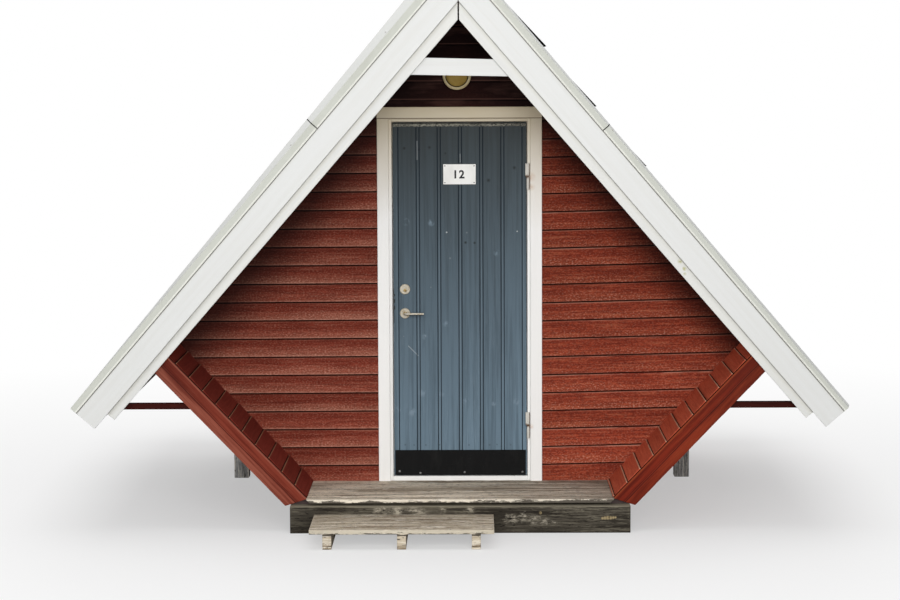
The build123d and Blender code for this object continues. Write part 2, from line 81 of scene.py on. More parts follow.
def leanX(height, out=0.0):
    return house["floorHalf"] + (height - house["deckTop"]) * cosLean / sinLean + out / sinLean


def slopeX(height, out=0.0):
    return (house["bargeApex"] + out / cosPitch - height) * cosPitch / sinPitch


def slopeHeight(x, out=0.0):
    return house["bargeApex"] + out / cosPitch - x * sinPitch / cosPitch


def slopeSpot(side, along, out, y):
    return (side * (along * cosPitch + out * sinPitch), y, house["bargeApex"] - along * sinPitch + out * cosPitch)


def kneeHeight(wallOut, roofOut):
    # where a line of the side wall meets a line of the roof slope
    foot = leanX(0.0, wallOut)
    x = (house["bargeApex"] + roofOut / cosPitch + foot * sinLean / cosLean) / (
        sinPitch / cosPitch + sinLean / cosLean)
    return slopeHeight(x, roofOut)


# Node helpers, the same for shaders and geometry

drawing = {}                                              # the tree that new nodes go to


class Wire:
    # an output socket; sums and comparisons with it are Math nodes
    def __init__(self, socket):
        self.socket = socket

    def __abs__(self):
        return calc("ABSOLUTE", self)


for sign, operation in (("add", "ADD"), ("sub", "SUBTRACT"), ("mul", "MULTIPLY"), ("truediv", "DIVIDE"),
                        ("gt", "GREATER_THAN"), ("lt", "LESS_THAN")):
    setattr(Wire, f"__{sign}__", lambda self, other, operation=operation: calc(operation, self, other))


def link(source, target):
    drawing["tree"].links.new(source.socket, target)


def add(kind, inputs=None, **settings):
    node = drawing["tree"].nodes.new(kind)
    for key, value in settings.items():
        setattr(node, key, value)
    for key, value in (inputs or {}).items():
        if isinstance(value, Wire):
            link(value, node.inputs[key])
        else:
            node.inputs[key].default_value = value
    return node


def wire(kind, inputs=None, output=0, **settings):
    return Wire(add(kind, inputs, **settings).outputs[output])


def calc(operation, *values):
    return wire("ShaderNodeMath", dict(enumerate(values)), operation=operation)


def vector(operation, *values, output="Vector"):
    return wire("ShaderNodeVectorMath", dict(enumerate(values)), output, operation=operation)


def point(x=0.0, y=0.0, z=0.0):
    return wire("ShaderNodeCombineXYZ", {0: x, 1: y, 2: z})


def axes(where):
    return [Wire(socket) for socket in add("ShaderNodeSeparateXYZ", {0: where}).outputs]


def pick(operation, wires):
    # the largest or smallest of several wires
    best, *others = wires
    for other in others:
        best = calc(operation, best, other)
    return best


def mixed(first, second, share, mode="MIX"):
    return wire("ShaderNodeMix", {0: share, 6: first, 7: second}, 2, data_type="RGBA", blend_type=mode)


def ramp(factor, low, high, start=0.0, end=1.0):
    return wire("ShaderNodeMapRange", {0: factor, 1: low, 2: high, 3: start, 4: end})


def stretched(where, scale, turn=(0.0, 0.0, 0.0)):
    return wire("ShaderNodeMapping", {"Vector": where, "Scale": scale, "Rotation": turn})


def noise(where, scale, detail=3.0, rough=0.55):
    # three scales stretch the pattern along the axes
    if isinstance(scale, tuple):
        where, scale = stretched(where, scale), 1.0
    return wire("ShaderNodeTexNoise", {"Vector": where, "Scale": scale, "Detail": detail, "Roughness": rough})


def chanceOf(number):
    return wire("ShaderNodeTexWhiteNoise", {"W": number}, noise_dimensions="1D")


def rgb(red, green, blue):
    return (red, green, blue, 1.0)


class Coat:
    # a material whose tones are laid one over the other, each by its share
    def __init__(self, name, look, rough, shine=0.5, metal=0.0):
        self.material = bpy.data.materials.new(name)
        self.material.use_nodes = True
        drawing["tree"] = self.material.node_tree
        self.look, self.colour = look, look.get("base")
        self.shader = drawing["tree"].nodes["Principled BSDF"]
        for label, value in (("Roughness", rough), ("Specular IOR Level", shine), ("Metallic", metal)):
            self.shader.inputs[label].default_value = value
        self.here = wire("ShaderNodeTexCoord", output="Object")
        self.x, self.y, self.z = axes(self.here)

    def lay(self, tone, share, low=None, high=None, most=1.0):
        # with low and high, the share grows between those two values of the wire
        if low is not None:
            share = ramp(share, low, high, 0.0, most)
        self.colour = mixed(self.colour, self.look.get(tone, tone), share)

    def brighten(self, factor):
        self.colour = mixed(self.colour, point(factor, factor, factor), 1.0, "MULTIPLY")

    def bump(self, height, strength, distance):
        node = add("ShaderNodeBump", {"Strength": strength, "Distance": distance, "Height": height})
        link(Wire(node.outputs[0]), self.shader.inputs["Normal"])

    def done(self):
        link(self.colour, self.shader.inputs["Base Color"])
        return self.material


# Turns that lay a piece's grain along X before the pattern is drawn
turns = {
    "level": (0.0, 0.0, 0.0), "upright": (0.0, math.radians(90), 0.0), "deep": (0.0, 0.0, math.radians(-90)),
    "slopeRight": (0.0, -house["roofPitch"], 0.0), "slopeLeft": (0.0, house["roofPitch"], 0.0),
    "leanRight": (0.0, house["wallLean"], 0.0), "leanLeft": (0.0, -house["wallLean"], 0.0),
}


def woodPattern(where, grain):
    # streaks along X and finer fibres, by the stretch along and across, and knots by stretches, size and rarity
    (along, across), (knotAlong, knotAcross, size, rarity) = grain["grain"], grain["knots"]
    streak = noise(where, (along, across, across), 6.0, 0.62)
    fine = noise(where, (along * 5, across * 3, across * 3), 5.0, 0.7)
    cells = add("ShaderNodeTexVoronoi", {
        "Vector": stretched(where, (knotAlong, knotAcross, knotAcross)), "Scale": 1.0, "Randomness": 1.0})
    ring = ramp(Wire(cells.outputs["Distance"]), size, size * 0.45)
    chance = wire("ShaderNodeSeparateColor", {0: Wire(cells.outputs["Color"])})
    return streak, fine, ring * (chance > rarity)


def spotShare(here, spots, soft):
    # how far a point lies inside any of the spots (x, z, radius) on an upright face
    flat = vector("MULTIPLY", here, (1.0, 0.0, 1.0))
    return pick("MAXIMUM", [ramp(vector("DISTANCE", flat, (x, 0.0, z), output="Value"), radius, radius * soft)
                            for x, z, radius in spots])


def slopeLines(coat):
    # how far out from the barge line, and how far down the slope
    reach, fall = abs(coat.x), calc("SUBTRACT", house["bargeApex"], coat.z)
    return reach * sinPitch - fall * cosPitch, reach * cosPitch + fall * sinPitch


# paint on the wall boards; shares say how strongly each trait shows. Some traits are painted light and shade: the
# shadow at each joint, the shade toward the roof's peak and under the barge boards, the highlights under each joint
# and on the lips under the peak, and the brighter foot of the wall
wallPaint = {
    "base": rgb(0.24, 0.045, 0.026), "dark": rgb(0.105, 0.018, 0.011), "dusty": rgb(0.35, 0.138, 0.092),
    "pale": rgb(0.54, 0.27, 0.195), "jointShadow": rgb(0.014, 0.003, 0.002), "upper": 0.42, "dust": 0.66, "lip": 0.45,
    "topEdgeHighlight": 0.2, "mottle": 0.55, "specks": 0.75, "saw": 0.9, "paintedShade": rgb(0.011, 0.006, 0.006),
    "peakHighlight": rgb(0.1, 0.048, 0.038), "peakShadeFrom": 2.0, "peakShadeTo": 2.2, "peakShadeShare": 0.9, "slopeShadeFrom": -0.29,
    "slopeShadeTo": -0.09, "slopeShadeShare": 0.76, "paintedLightLow": 1.12, "paintedLightHigh": 0.79, "pitch": 0.098,
}
# the wall right of the door is redder and more even, with less dust on the lower parts and more painted light near
# the deck
rightPaint = dict(
    wallPaint, base=rgb(0.266, 0.045, 0.021), dark=rgb(0.112, 0.017, 0.01), dusty=rgb(0.362, 0.118, 0.062),
    upper=0.1, dust=0.2, lip=0.08, topEdgeHighlight=0.6, mottle=0.75, specks=0.6, saw=0.4, slopeShadeFrom=-0.21,
    slopeShadeTo=-0.055, paintedLightLow=1.34)
# the porch's side boards are smooth, with a painted highlight along each upper edge
# the left side's paint is darkened as painted shade
shadedLeftSidePaint = dict(
    wallPaint, base=rgb(0.185, 0.028, 0.018), dark=rgb(0.125, 0.018, 0.012), dusty=rgb(0.2, 0.036, 0.022),
    pale=rgb(0.225, 0.048, 0.031), upper=0.25, dust=0.25, lip=0.0, topEdgeHighlight=0.0, mottle=0.5, specks=0.25, saw=0.1,
    slopeShadeShare=0.0, edgeHighlight=rgb(0.27, 0.125, 0.075))
# the right side's paint is lightened as painted light: a lit copy of the left side's paint
litRightSidePaint = dict(
    shadedLeftSidePaint, base=rgb(0.49, 0.098, 0.048), dark=rgb(0.345, 0.058, 0.03), dusty=rgb(0.5, 0.12, 0.065),
    pale=rgb(0.52, 0.145, 0.085), edgeHighlight=rgb(0.52, 0.28, 0.185))


def redBoards(name, look):
    # flat red paint on sawn boards; the attribute holds the run, the count of boards up, and the depth
    coat = Coat(name, look, 0.92, 0.06)
    run, rows, depth = axes(wire("ShaderNodeAttribute", output="Vector", attribute_name="grain",
                                 attribute_type="GEOMETRY"))
    row, local = calc("FLOOR", rows), calc("FRACT", rows)
    chance = chanceOf(row)
    where = point(run + chance * 7.0, rows * look["pitch"], row)
    patch = noise(where, (2.6, 14.0, 1.0), 4.0)
    mottle = noise(where, (42.0, 80.0, 1.0), 4.0, 0.6)
    streak = noise(where, (4.0, 95.0, 1.0), 4.0, 0.6)
    grit = noise(where, (95.0, 150.0, 1.0), 2.0, 0.6)
    saw = noise(where, (170.0, 11.0, 1.0), 2.0)
    broad = noise(where, (0.9, 5.0, 1.0), 3.0)
    wobble = local + (patch - 0.5) * 0.7
    lower = ramp(wobble, 0.55, 0.05) * ramp(broad, 0.38, 0.6, 0.25, 1.0)
    coat.lay("dark", ramp(mottle, 0.58, 0.38) * look["mottle"])
    coat.lay("dark", streak, 0.54, 0.38, 0.75)
    coat.lay("dusty", streak, 0.56, 0.68, 0.55)
    coat.lay("dark", wobble, 0.34, 0.66, look["upper"])
    coat.lay("dusty", lower * look["dust"])
    coat.lay("pale", ramp(grit, 0.53, 0.66) * (calc("MULTIPLY_ADD", lower, 0.75, 0.25) * look["specks"]))
    coat.lay("dark", grit, 0.44, 0.33, 0.65)
    coat.brighten(ramp(chance, 0.0, 1.0, 0.9, 1.1) + (saw - 0.5) * (lower * look["saw"]))
    coat.lay("pale", ramp(local, 0.085, 0.03) * ramp(mottle, 0.36, 0.56, 0.35, 1.0) * look["lip"])
    # painted highlight: a pale line along the upper edge of some boards, just under the painted joint shadow
    edge = ramp(local, 0.855, 0.9) * ramp(streak, 0.4, 0.52) * ramp(chance, 0.35, 0.85, 0.25, 1.0)
    coat.lay("pale", edge * look["topEdgeHighlight"])
    # painted highlight along each side board's upper edge
    if "edgeHighlight" in look:
        coat.lay("edgeHighlight", ramp(local, 0.895, 0.915) * ramp(streak, 0.34, 0.5, 0.3, 1.0))
    else:
        # painted shadow along the top of each board, under the edge of the board above
        coat.lay("jointShadow", local - calc("MULTIPLY_ADD", streak - 0.5, -0.08, 0.92), -0.012, 0.012, 0.9)
    # painted shade in the gap between boards, darker with depth
    coat.lay("jointShadow", depth, 0.0048, 0.0028)
    # painted light and shade: the boards are painted brighter near the deck and darker higher up
    coat.brighten(ramp(coat.z, 0.3, 2.0, look["paintedLightLow"], look["paintedLightHigh"]))
    # painted shade: the boards darken close under the barge boards
    coat.lay("paintedShade", slopeLines(coat)[0], look["slopeShadeFrom"], look["slopeShadeTo"], look["slopeShadeShare"])
    # painted shade: the boards darken toward the roof's peak, by height
    dim = ramp(coat.z, look["peakShadeFrom"], look["peakShadeTo"], 0.0, look["peakShadeShare"])
    coat.lay("paintedShade", dim)
    # painted highlights: in the painted shade under the roof's peak, the boards' lips and a few brown streaks are
    # painted lighter, as if they still catch light
    coat.lay("peakHighlight", dim * (ramp(local, 0.075, 0.03, 0.0, 0.75) + ramp(patch, 0.52, 0.66, 0.0, 0.45)))
    coat.bump(mottle + grit * 0.5, 0.5, 0.0012)
    return coat.done()


redTrim = {
    "base": rgb(0.235, 0.036, 0.019), "dark": rgb(0.125, 0.016, 0.009), "pale": rgb(0.4, 0.125, 0.075),
    "knot": rgb(0.045, 0.01, 0.007), "grain": (2.2, 48.0), "knots": (2.2, 9.0, 0.15, 0.75), "knotShow": 0.7,
    "wear": 0.6, "rough": 0.9, "bump": 0.5, "shine": 0.15,
}
# the struts' red is darkened as painted shade, for the roof's shadow they lie in
shadedRed = dict(redTrim, base=rgb(0.04, 0.005, 0.003), dark=rgb(0.023, 0.003, 0.002), pale=rgb(0.065, 0.011, 0.006))
# the crack's place across the fascia boards, from the line of the side wall's inner face
wallLine = cosLean * house["deckTop"] - sinLean * house["floorHalf"]
leftFascia = dict(
    redTrim, crack=wallLine - 0.054, base=rgb(0.215, 0.038, 0.021), dark=rgb(0.125, 0.017, 0.009),
    pale=rgb(0.33, 0.105, 0.068), worn=0.62, wear=0.3, ageAndShade=rgb(0.085, 0.012, 0.007), ageShadeFrom=0.55, ageShadeTo=1.05,
    ageShadeShare=0.85)
rightFascia = dict(
    leftFascia, base=rgb(0.205, 0.022, 0.009), dark=rgb(0.11, 0.011, 0.005), pale=rgb(0.32, 0.062, 0.022),
    worn=0.2)
whiteTrim = {
    "base": rgb(0.74, 0.745, 0.73), "dark": rgb(0.72, 0.722, 0.7), "pale": rgb(0.756, 0.761, 0.748),
    "knot": rgb(0.62, 0.58, 0.48), "grain": (1.4, 34.0), "knots": (1.6, 7.0, 0.09, 0.86), "knotShow": 0.15,
    "wear": 0.4, "rough": 0.5, "bump": 0.16, "shine": 0.5, "overlapShadow": rgb(0.075, 0.07, 0.06),
    "overlapShadeSoft": rgb(0.56, 0.545, 0.47),
}
# painted shadow under the flashing's hem on the wide boards, and painted shade under the wide boards on the lower
# ones
wideTrim = dict(whiteTrim, lineOut=0.1238, shade=0.01, lineShare=0.85)
lowerTrim = dict(whiteTrim, base=rgb(0.745, 0.742, 0.705), lineOut=-0.0012, shade=0.024, lineShare=0.35)
lichenTrim = dict(
    lowerTrim, stain=rgb(0.33, 0.32, 0.02), stainShare=0.95,
    stains=((1.131, 1.403, 0.016), (1.154, 1.366, 0.015), (1.156, 1.339, 0.011)))
# the casings yellow and darken toward the top: yellowed paint and painted shade under the roof
casingTrim = dict(
    whiteTrim, base=rgb(0.905, 0.9, 0.878), dark=rgb(0.885, 0.88, 0.855), pale=rgb(0.92, 0.915, 0.897),
    ageAndShade=rgb(0.51, 0.415, 0.245), ageShadeFrom=1.55, ageShadeTo=2.2, ageShadeShare=0.94,
    stains=((0.381, 1.814, 0.03), (0.384, 1.76, 0.022), (0.38, 0.47, 0.018)),
    stain=rgb(0.53, 0.31, 0.16), stainShare=0.55)
lintelTrim = dict(casingTrim, headShadowZ=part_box("casing_head")[0].z, seamAndShadow=rgb(0.12, 0.08, 0.036))
pineWood = {
    "base": rgb(0.56, 0.4, 0.225), "dark": rgb(0.43, 0.28, 0.14), "pale": rgb(0.64, 0.48, 0.29),
    "knot": rgb(0.17, 0.085, 0.035), "grain": (1.6, 48.0), "knots": (2.2, 9.0, 0.13, 0.66), "knotShow": 0.8,
    "wear": 0.4, "rough": 0.6, "bump": 0.2, "shine": 0.5, "pitch": 0.095, "seamAndShadow": rgb(0.1, 0.06, 0.03),
    "outside": rgb(0.03, 0.01, 0.007), "inset": 0.098, "roomHalf": 1.62,
}


def paintedCoat(name, look, turn="level"):
    # paint on planed wood: faint grain and brush marks, and whatever marks the look names
    coat = Coat(name, look, look["rough"], look["shine"])
    where = stretched(coat.here, (1.0, 1.0, 1.0), turns[turn])
    streak, fine, knot = woodPattern(where, look)
    patch = noise(where, (1.6, 5.0, 5.0), 4.0)
    coat.lay("dark", streak, 0.56, 0.38)
    coat.lay("pale", ramp(fine, 0.5, 0.62) * ramp(patch, 0.4, 0.62) * look["wear"])
    coat.lay("knot", knot * look["knotShow"])
    if "ageAndShade" in look:
        # painted shade under the roof, by height: darker toward the top; on the casings the tone also holds the
        # paint's real yellowing
        coat.lay("ageAndShade", coat.z + (patch - 0.5) * 0.25, look["ageShadeFrom"], look["ageShadeTo"], look["ageShadeShare"])
    if "headShadowZ" in look:
        # painted shadow: the dark line under the head board, where it lies over the frame
        coat.lay("seamAndShadow", coat.z - look["headShadowZ"], 0.0055, 0.0035, 0.8)
    if "stains" in look:
        uneven = ramp(noise(coat.here, 70.0, 4.0), 0.35, 0.6, 0.4, 1.0)
        coat.lay("stain", spotShare(coat.here, look["stains"], 0.1) * uneven * look["stainShare"])
    if "lineOut" in look:
        out = slopeLines(coat)[0]
        # painted shade and a painted shadow line along the edge of the piece that laps over this one
        coat.lay("overlapShadeSoft", out, look["lineOut"] - look["shade"], look["lineOut"], 0.5)
        coat.lay("overlapShadow", abs(out - look["lineOut"]), 0.0034, 0.0016, look["lineShare"])
    if "crack" in look:
        # a long crack that wanders a little along the board, the paint below it more worn
        across = axes(where)[2]
        bend = noise(where, (2.0, 0.0, 0.0), 5.0, 0.65)
        off = across + (bend - 0.5) * 0.014 - look["crack"]
        coat.lay("pale", ramp(off, 0.004, -0.012) * ramp(streak, 0.42, 0.54, 0.3, 1.0) * look["worn"])
        coat.lay("knot", abs(off), 0.0028, 0.0008)
        coat.lay("knot", abs(off - 0.009), 0.0018, 0.0006, 0.7)
        coat.lay("pale", across - look["crack"], 0.045, 0.052, 0.8)
    coat.bump(fine + streak * 0.6, look["bump"], 0.0008)
    return coat


def paintedWood(name, look, turn="level"):
    return paintedCoat(name, look, turn).done()


def linedWood(name, turn):
    # structure: clear pine boarding inside the room; outside it near black, painted shade where the structure shows
    # under the fascia
    look = pineWood
    coat = paintedCoat(name, look, turn)
    up = axes(stretched(coat.here, (1.0, 1.0, 1.0), turns[turn]))[2]
    coat.lay("seamAndShadow", abs(calc("FRACT", up / look["pitch"]) - 0.5) > 0.485)
    behind, before = coat.y > house["wallY"] + look["inset"], coat.y < house["rearY"] - look["inset"]
    room = behind * before * (abs(coat.x) < look["roomHalf"])
    # outside the room the structure is painted near black: painted shade
    coat.colour = mixed(look["outside"], coat.colour, room)
    return coat.done()


# the door's paint darkens toward the top: painted shade under the roof
doorPaint = {
    "base": rgb(0.138, 0.206, 0.264), "dark": rgb(0.094, 0.143, 0.185), "pale": rgb(0.205, 0.28, 0.345),
    "knot": rgb(0.03, 0.042, 0.052), "grain": (1.6, 55.0), "knots": (3.0, 13.0, 0.06, 0.88), "knotShow": 0.5,
    "wear": 0.35, "rough": 0.65, "bump": 0.35, "shine": 0.25, "ageAndShade": rgb(0.022, 0.025, 0.022), "ageShadeFrom": 0.45,
    "ageShadeTo": 2.12, "ageShadeShare": 0.93,
}
# spots are (x, z, radius), lines are (x, z, x, z, half width)
doorMarks = {
    "pitch": 0.1133, "middle": 0.003, "bead": 0.005, "grooveDepth": 0.006,
    "grooveShade": rgb(0.012, 0.019, 0.028), "beadTone": rgb(0.165, 0.225, 0.27),
    "dark": rgb(0.018, 0.024, 0.026), "halo": rgb(0.2, 0.27, 0.33), "speck": rgb(0.48, 0.52, 0.53),
    "rub": rgb(0.004, 0.005, 0.005),
    "nails": ((-0.295, 1.968, 0.011), (-0.16, 1.972, 0.011), (-0.216, 1.96, 0.009), (0.293, 1.862, 0.012),
              (0.155, 1.795, 0.013), (-0.075, 1.94, 0.008), (0.031, 1.462, 0.01), (0.08, 1.46, 0.009)),
    "faintNails": ((-0.298, 0.368, 0.007), (-0.25, 0.366, 0.006), (-0.187, 0.366, 0.007), (-0.113, 0.367, 0.007),
                   (0.046, 0.366, 0.007), (0.157, 0.366, 0.007), (0.197, 0.368, 0.006), (0.271, 0.366, 0.006)),
    "halos": ((-0.287, 1.574, 0.024), (-0.153, 1.569, 0.022), (-0.19, 0.954, 0.018), (-0.073, 1.023, 0.02),
              (-0.205, 0.65, 0.026), (-0.102, 0.643, 0.02), (-0.336, 0.56, 0.022), (-0.261, 0.546, 0.028),
              (0.304, 0.6, 0.022), (0.18, 0.59, 0.016), (0.028, 0.61, 0.026), (0.198, 1.405, 0.022)),
    "specks": ((-0.07, 1.517, 0.0055), (0.308, 1.521, 0.005)),
    "faintSpecks": ((-0.156, 1.222, 0.005), (0.038, 1.515, 0.006), (-0.052, 1.378, 0.007), (-0.186, 0.958, 0.005),
                    (-0.303, 0.957, 0.004)),
    "scuffs": ((-0.279, 0.906, -0.225, 0.851, 0.0035), (-0.226, 1.905, -0.226, 2.007, 0.003),
               (0.004, 1.891, 0.004, 1.938, 0.0025)),
    "rubs": ((-0.3555, 1.218, -0.3555, 1.03, 0.0032), (-0.353, 1.186, -0.353, 1.174, 0.0055),
             (-0.353, 1.16, -0.353, 1.138, 0.006), (-0.353, 1.122, -0.353, 1.102, 0.006)),
}


def doorWood(name):
    # the door's paint: painted shade in the grooves, a paler bead between each pair, nails, knots and scuffs
    coat = paintedCoat(name, doorPaint, "upright")
    coat.look = look = doorMarks
    here = coat.here
    steps = (coat.x - look["middle"]) / look["pitch"]
    coat.brighten(ramp(chanceOf(calc("FLOOR", steps)), 0.0, 1.0, 0.93, 1.07))
    off = abs(calc("FRACT", steps + 0.5) - 0.5) * look["pitch"]
    coat.lay("beadTone", ramp(off, look["bead"], look["bead"] * 0.5, 0.0, 0.3) * ramp(coat.z, 1.3, 1.9, 1.0, 0.0))
    smear = ramp(noise(here, (55.0, 55.0, 30.0), 4.0), 0.42, 0.6)
    coat.lay("halo", spotShare(here, look["halos"], 0.2) * smear * 0.8)
    coat.lay("dark", spotShare(here, look["nails"], 0.25))
    coat.lay("dark", spotShare(here, look["faintNails"], 0.25) * 0.4)
    for word, tone, share in (("scuffs", "speck", 0.38), ("rubs", "rub", 0.95)):
        for x1, z1, x2, z2, half in look[word]:
            length = math.hypot(x2 - x1, z2 - z1)
            du, dv = (x2 - x1) / length, (z2 - z1) / length
            dx, dz = coat.x - x1, coat.z - z1
            run, aside = dx * du + dz * dv, abs(dx * dv - dz * du)
            coat.lay(tone, (run > 0.0) * (run < length) * ramp(aside, half, half * 0.4) * share)
    coat.lay("speck", pick("MAXIMUM", (spotShare(here, look["specks"], 0.3),
                                       spotShare(here, look["faintSpecks"], 0.1) * 0.22)))
    # painted shade inside the grooves, darker with depth
    deep = ramp(coat.y - leafLow.y, 0.0002, 0.0014)
    coat.lay("grooveShade", deep * (coat.y < leafLow.y + look["grooveDepth"]) * 0.92)
    return coat.done()


deckWood = {
    "base": rgb(0.86, 0.755, 0.595), "dark": rgb(0.255, 0.196, 0.13), "pale": rgb(0.88, 0.82, 0.71),
    "knot": rgb(0.04, 0.03, 0.022), "grain": (1.5, 42.0), "knots": (2.0, 9.0, 0.14, 0.86), "stain": 0.7,
    "moss": 0.58, "pits": 0.42, "frayed": rgb(0.84, 0.77, 0.635), "edgeY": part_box("porch_deck")[0].y,
    "edgeZ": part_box("porch_deck")[0].z, "rightEnd": 0.56, "fibres": 0.9, "checks": 0.9,
}
stepWood = dict(
    deckWood, base=rgb(0.6, 0.52, 0.395), frayed=rgb(0.66, 0.595, 0.47), stain=0.45, rightEnd=1.0,
    edgeY=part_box("front_step")[0].y, edgeZ=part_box("front_step")[1].z - 0.03)
# no frayed edge on wood whose edgeY lies far in front of it
rearWood = dict(deckWood, edgeY=-9.0, rightEnd=1.0)
postWood = dict(rearWood, base=rgb(0.5, 0.5, 0.49), dark=rgb(0.27, 0.268, 0.258), stain=0.3, moss=0.9)
bearerWood = {
    "base": rgb(0.072, 0.062, 0.047), "dark": rgb(0.028, 0.023, 0.017), "pale": rgb(0.25, 0.222, 0.165),
    "knot": rgb(0.01, 0.008, 0.006), "grain": (1.6, 38.0), "knots": (2.0, 8.0, 0.14, 0.84), "stain": 0.6,
    "moss": 0.64, "pits": 0.4, "fibres": 0.42, "checks": 0.6,
}
beamWood = dict(
    bearerWood, topZ=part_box("front_beam")[1].z, burl=rgb(0.44, 0.34, 0.18), patch=rgb(0.48, 0.43, 0.34),
    patches=((-0.43, 0.13, 0.045), (-0.34, 0.125, 0.06), (-0.23, 0.13, 0.05), (-0.1, 0.134, 0.03),
             (0.06, 0.13, 0.035), (0.27, 0.062, 0.034), (0.33, 0.074, 0.036), (0.39, 0.06, 0.038),
             (0.45, 0.056, 0.03)),
    burls=((0.735, 0.077, 0.009), (0.748, 0.078, 0.011), (0.762, 0.079, 0.012), (0.777, 0.079, 0.011),
           (0.791, 0.08, 0.009), (0.802, 0.081, 0.007), (0.415, 0.106, 0.009)),
    hearts=((0.769, 0.08, 0.005), (0.413, 0.106, 0.005)))


def weatheredWood(name, look, turn="level"):
    # bare grey wood with open grain, dark streaks and pale worn fibres; paler along its front edge
    coat = Coat(name, look, 0.95, 0.2)
    where = stretched(coat.here, (1.0, 1.0, 1.0), turns[turn])
    streak, fine, knot = woodPattern(where, look)
    patch = noise(where, (1.1, 5.0, 5.0), 5.0)
    spots = noise(where, (9.0, 16.0, 16.0), 7.0, 0.75)
    pits = noise(where, (28.0, 150.0, 150.0), 3.0, 0.6)
    coat.colour = look["dark"]
    coat.lay("base", streak, 0.41, 0.53)
    coat.lay("pale", fine, 0.52, 0.6, look["fibres"])
    coat.lay("dark", patch, 0.5, 0.38, look["stain"])
    coat.lay("pale", spots, look["moss"], look["moss"] + 0.06, 0.8)
    coat.lay("knot", fine, 0.43, 0.36, look["checks"])
    coat.lay("knot", knot * 0.8)
    coat.lay("knot", pits, look["pits"], look["pits"] - 0.06, 0.85)
    if "edgeY" in look:
        # a frayed pale front edge with dark nicks along its foot, and darker wood toward the right end
        depth, above = coat.y - look["edgeY"], coat.z - look["edgeZ"]
        coat.brighten(ramp(coat.x, -0.2, 0.8, 1.06, look["rightEnd"]))
        coat.brighten(ramp(depth, 0.05, 0.4, 1.1, 0.88))
        coat.lay("frayed", ramp(depth + (spots - 0.5) * 0.09, 0.022, 0.004) * (above > 0.0) * 0.85)
        ragged = ramp(noise(where, (14.0, 60.0, 60.0), 6.0, 0.8), 0.38, 0.68, 0.001, 0.024)
        reach = ragged + ramp(coat.x, 0.1, 0.6, 0.0, 0.007)
        coat.lay("knot", (depth < 0.006) * ramp(above - reach, 0.002, -0.002) * (above > 0.0) * 0.9)
    swayed = vector("ADD", coat.here, point((spots - 0.5) * 0.22, 0.0, (patch - 0.5) * 0.12))
    for word, tone, place, soft, least in (("patches", "patch", swayed, 0.1, 0.0),
                                           ("burls", "burl", coat.here, 0.4, 0.7),
                                           ("hearts", "knot", coat.here, 0.4, 0.7)):
        if word in look:
            flecks = ramp(noise(coat.here, (26.0, 45.0, 70.0), 7.0, 0.8), 0.46, 0.55, least, 0.85)
            coat.lay(tone, spotShare(place, look[word], soft) * flecks)
    if "topZ" in look:
        # paler on the top and along the upper arris
        coat.lay("pale", coat.z + (fine - 0.5) * 0.03, look["topZ"] - 0.01, look["topZ"] - 0.003, 0.75)
    coat.bump(fine + streak, 0.9, 0.002)
    return coat.done()


def steelCoat(name, base, dirt, rough, dirtShare=0.5, overlapShadow=6.0, shine=0.5, bump=0.15):
    # painted or coated sheet: even colour with water marks, dust and small flecks
    coat = Coat(name, {"base": base, "dirt": dirt}, rough, shine)
    marks = noise(coat.here, (overlapShadow, overlapShadow, overlapShadow * 0.35), 6.0, 0.65)
    coat.lay("dirt", marks, 0.5, 0.74, dirtShare)
    coat.lay("dirt", noise(coat.here, 190.0, 3.0), 0.66, 0.72, 0.6)
    link(ramp(marks, 0.3, 0.7, rough - 0.08, rough + 0.12), coat.shader.inputs["Roughness"])
    if bump:
        coat.bump(marks, bump, 0.0006)
    return coat


# the flashings' folds and crests, out from the barge line at the ridge and at the eave
leftFlash = {"fold": (0.168, 0.163), "crest": (0.214, 0.165), "lap": 0.958}
rightFlash = {"fold": (0.166, 0.152), "crest": (0.178, 0.165), "lap": 0.979}


def flashSteel(name, look):
    # painted shade on the drop over the board, a painted highlight on the slanting top and on the clean hem,
    # and the dark edge of a lap; the slant is seen almost edge on, where a bump would only sparkle
    # the greyer base is the drop's painted shade
    coat = steelCoat(name, rgb(0.61, 0.622, 0.565), rgb(0.51, 0.515, 0.455), 0.75, 0.45, 4.0, 0.08, bump=None)
    out, along = slopeLines(coat)
    fall = (look["fold"][1] - look["fold"][0]) / house["roofLength"]
    over = out - calc("MULTIPLY_ADD", along, fall, look["fold"][0])
    # painted highlight on the slant above the fold
    coat.lay(rgb(0.735, 0.742, 0.722), over, -0.002, 0.004)
    # painted highlight along the hem
    coat.lay(rgb(0.82, 0.82, 0.76), out, 0.136, 0.1325, 0.85)
    coat.lay(rgb(0.03, 0.03, 0.026), abs(along - look["lap"]), 0.0036, 0.002)
    return coat.done()


def platePaint(name, border=0.0016):
    # white enamel with a thin black border
    coat = steelCoat(name, rgb(0.84, 0.835, 0.8), rgb(0.64, 0.63, 0.58), 0.35, 0.3, 30.0)
    low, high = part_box("number_plate")
    near = [abs(place - (high[axis] + low[axis]) / 2) > (high[axis] - low[axis]) / 2 - border
            for axis, place in ((0, coat.x), (2, coat.z))]
    coat.lay(rgb(0.015, 0.016, 0.018), pick("MAXIMUM", near))
    return coat.done()


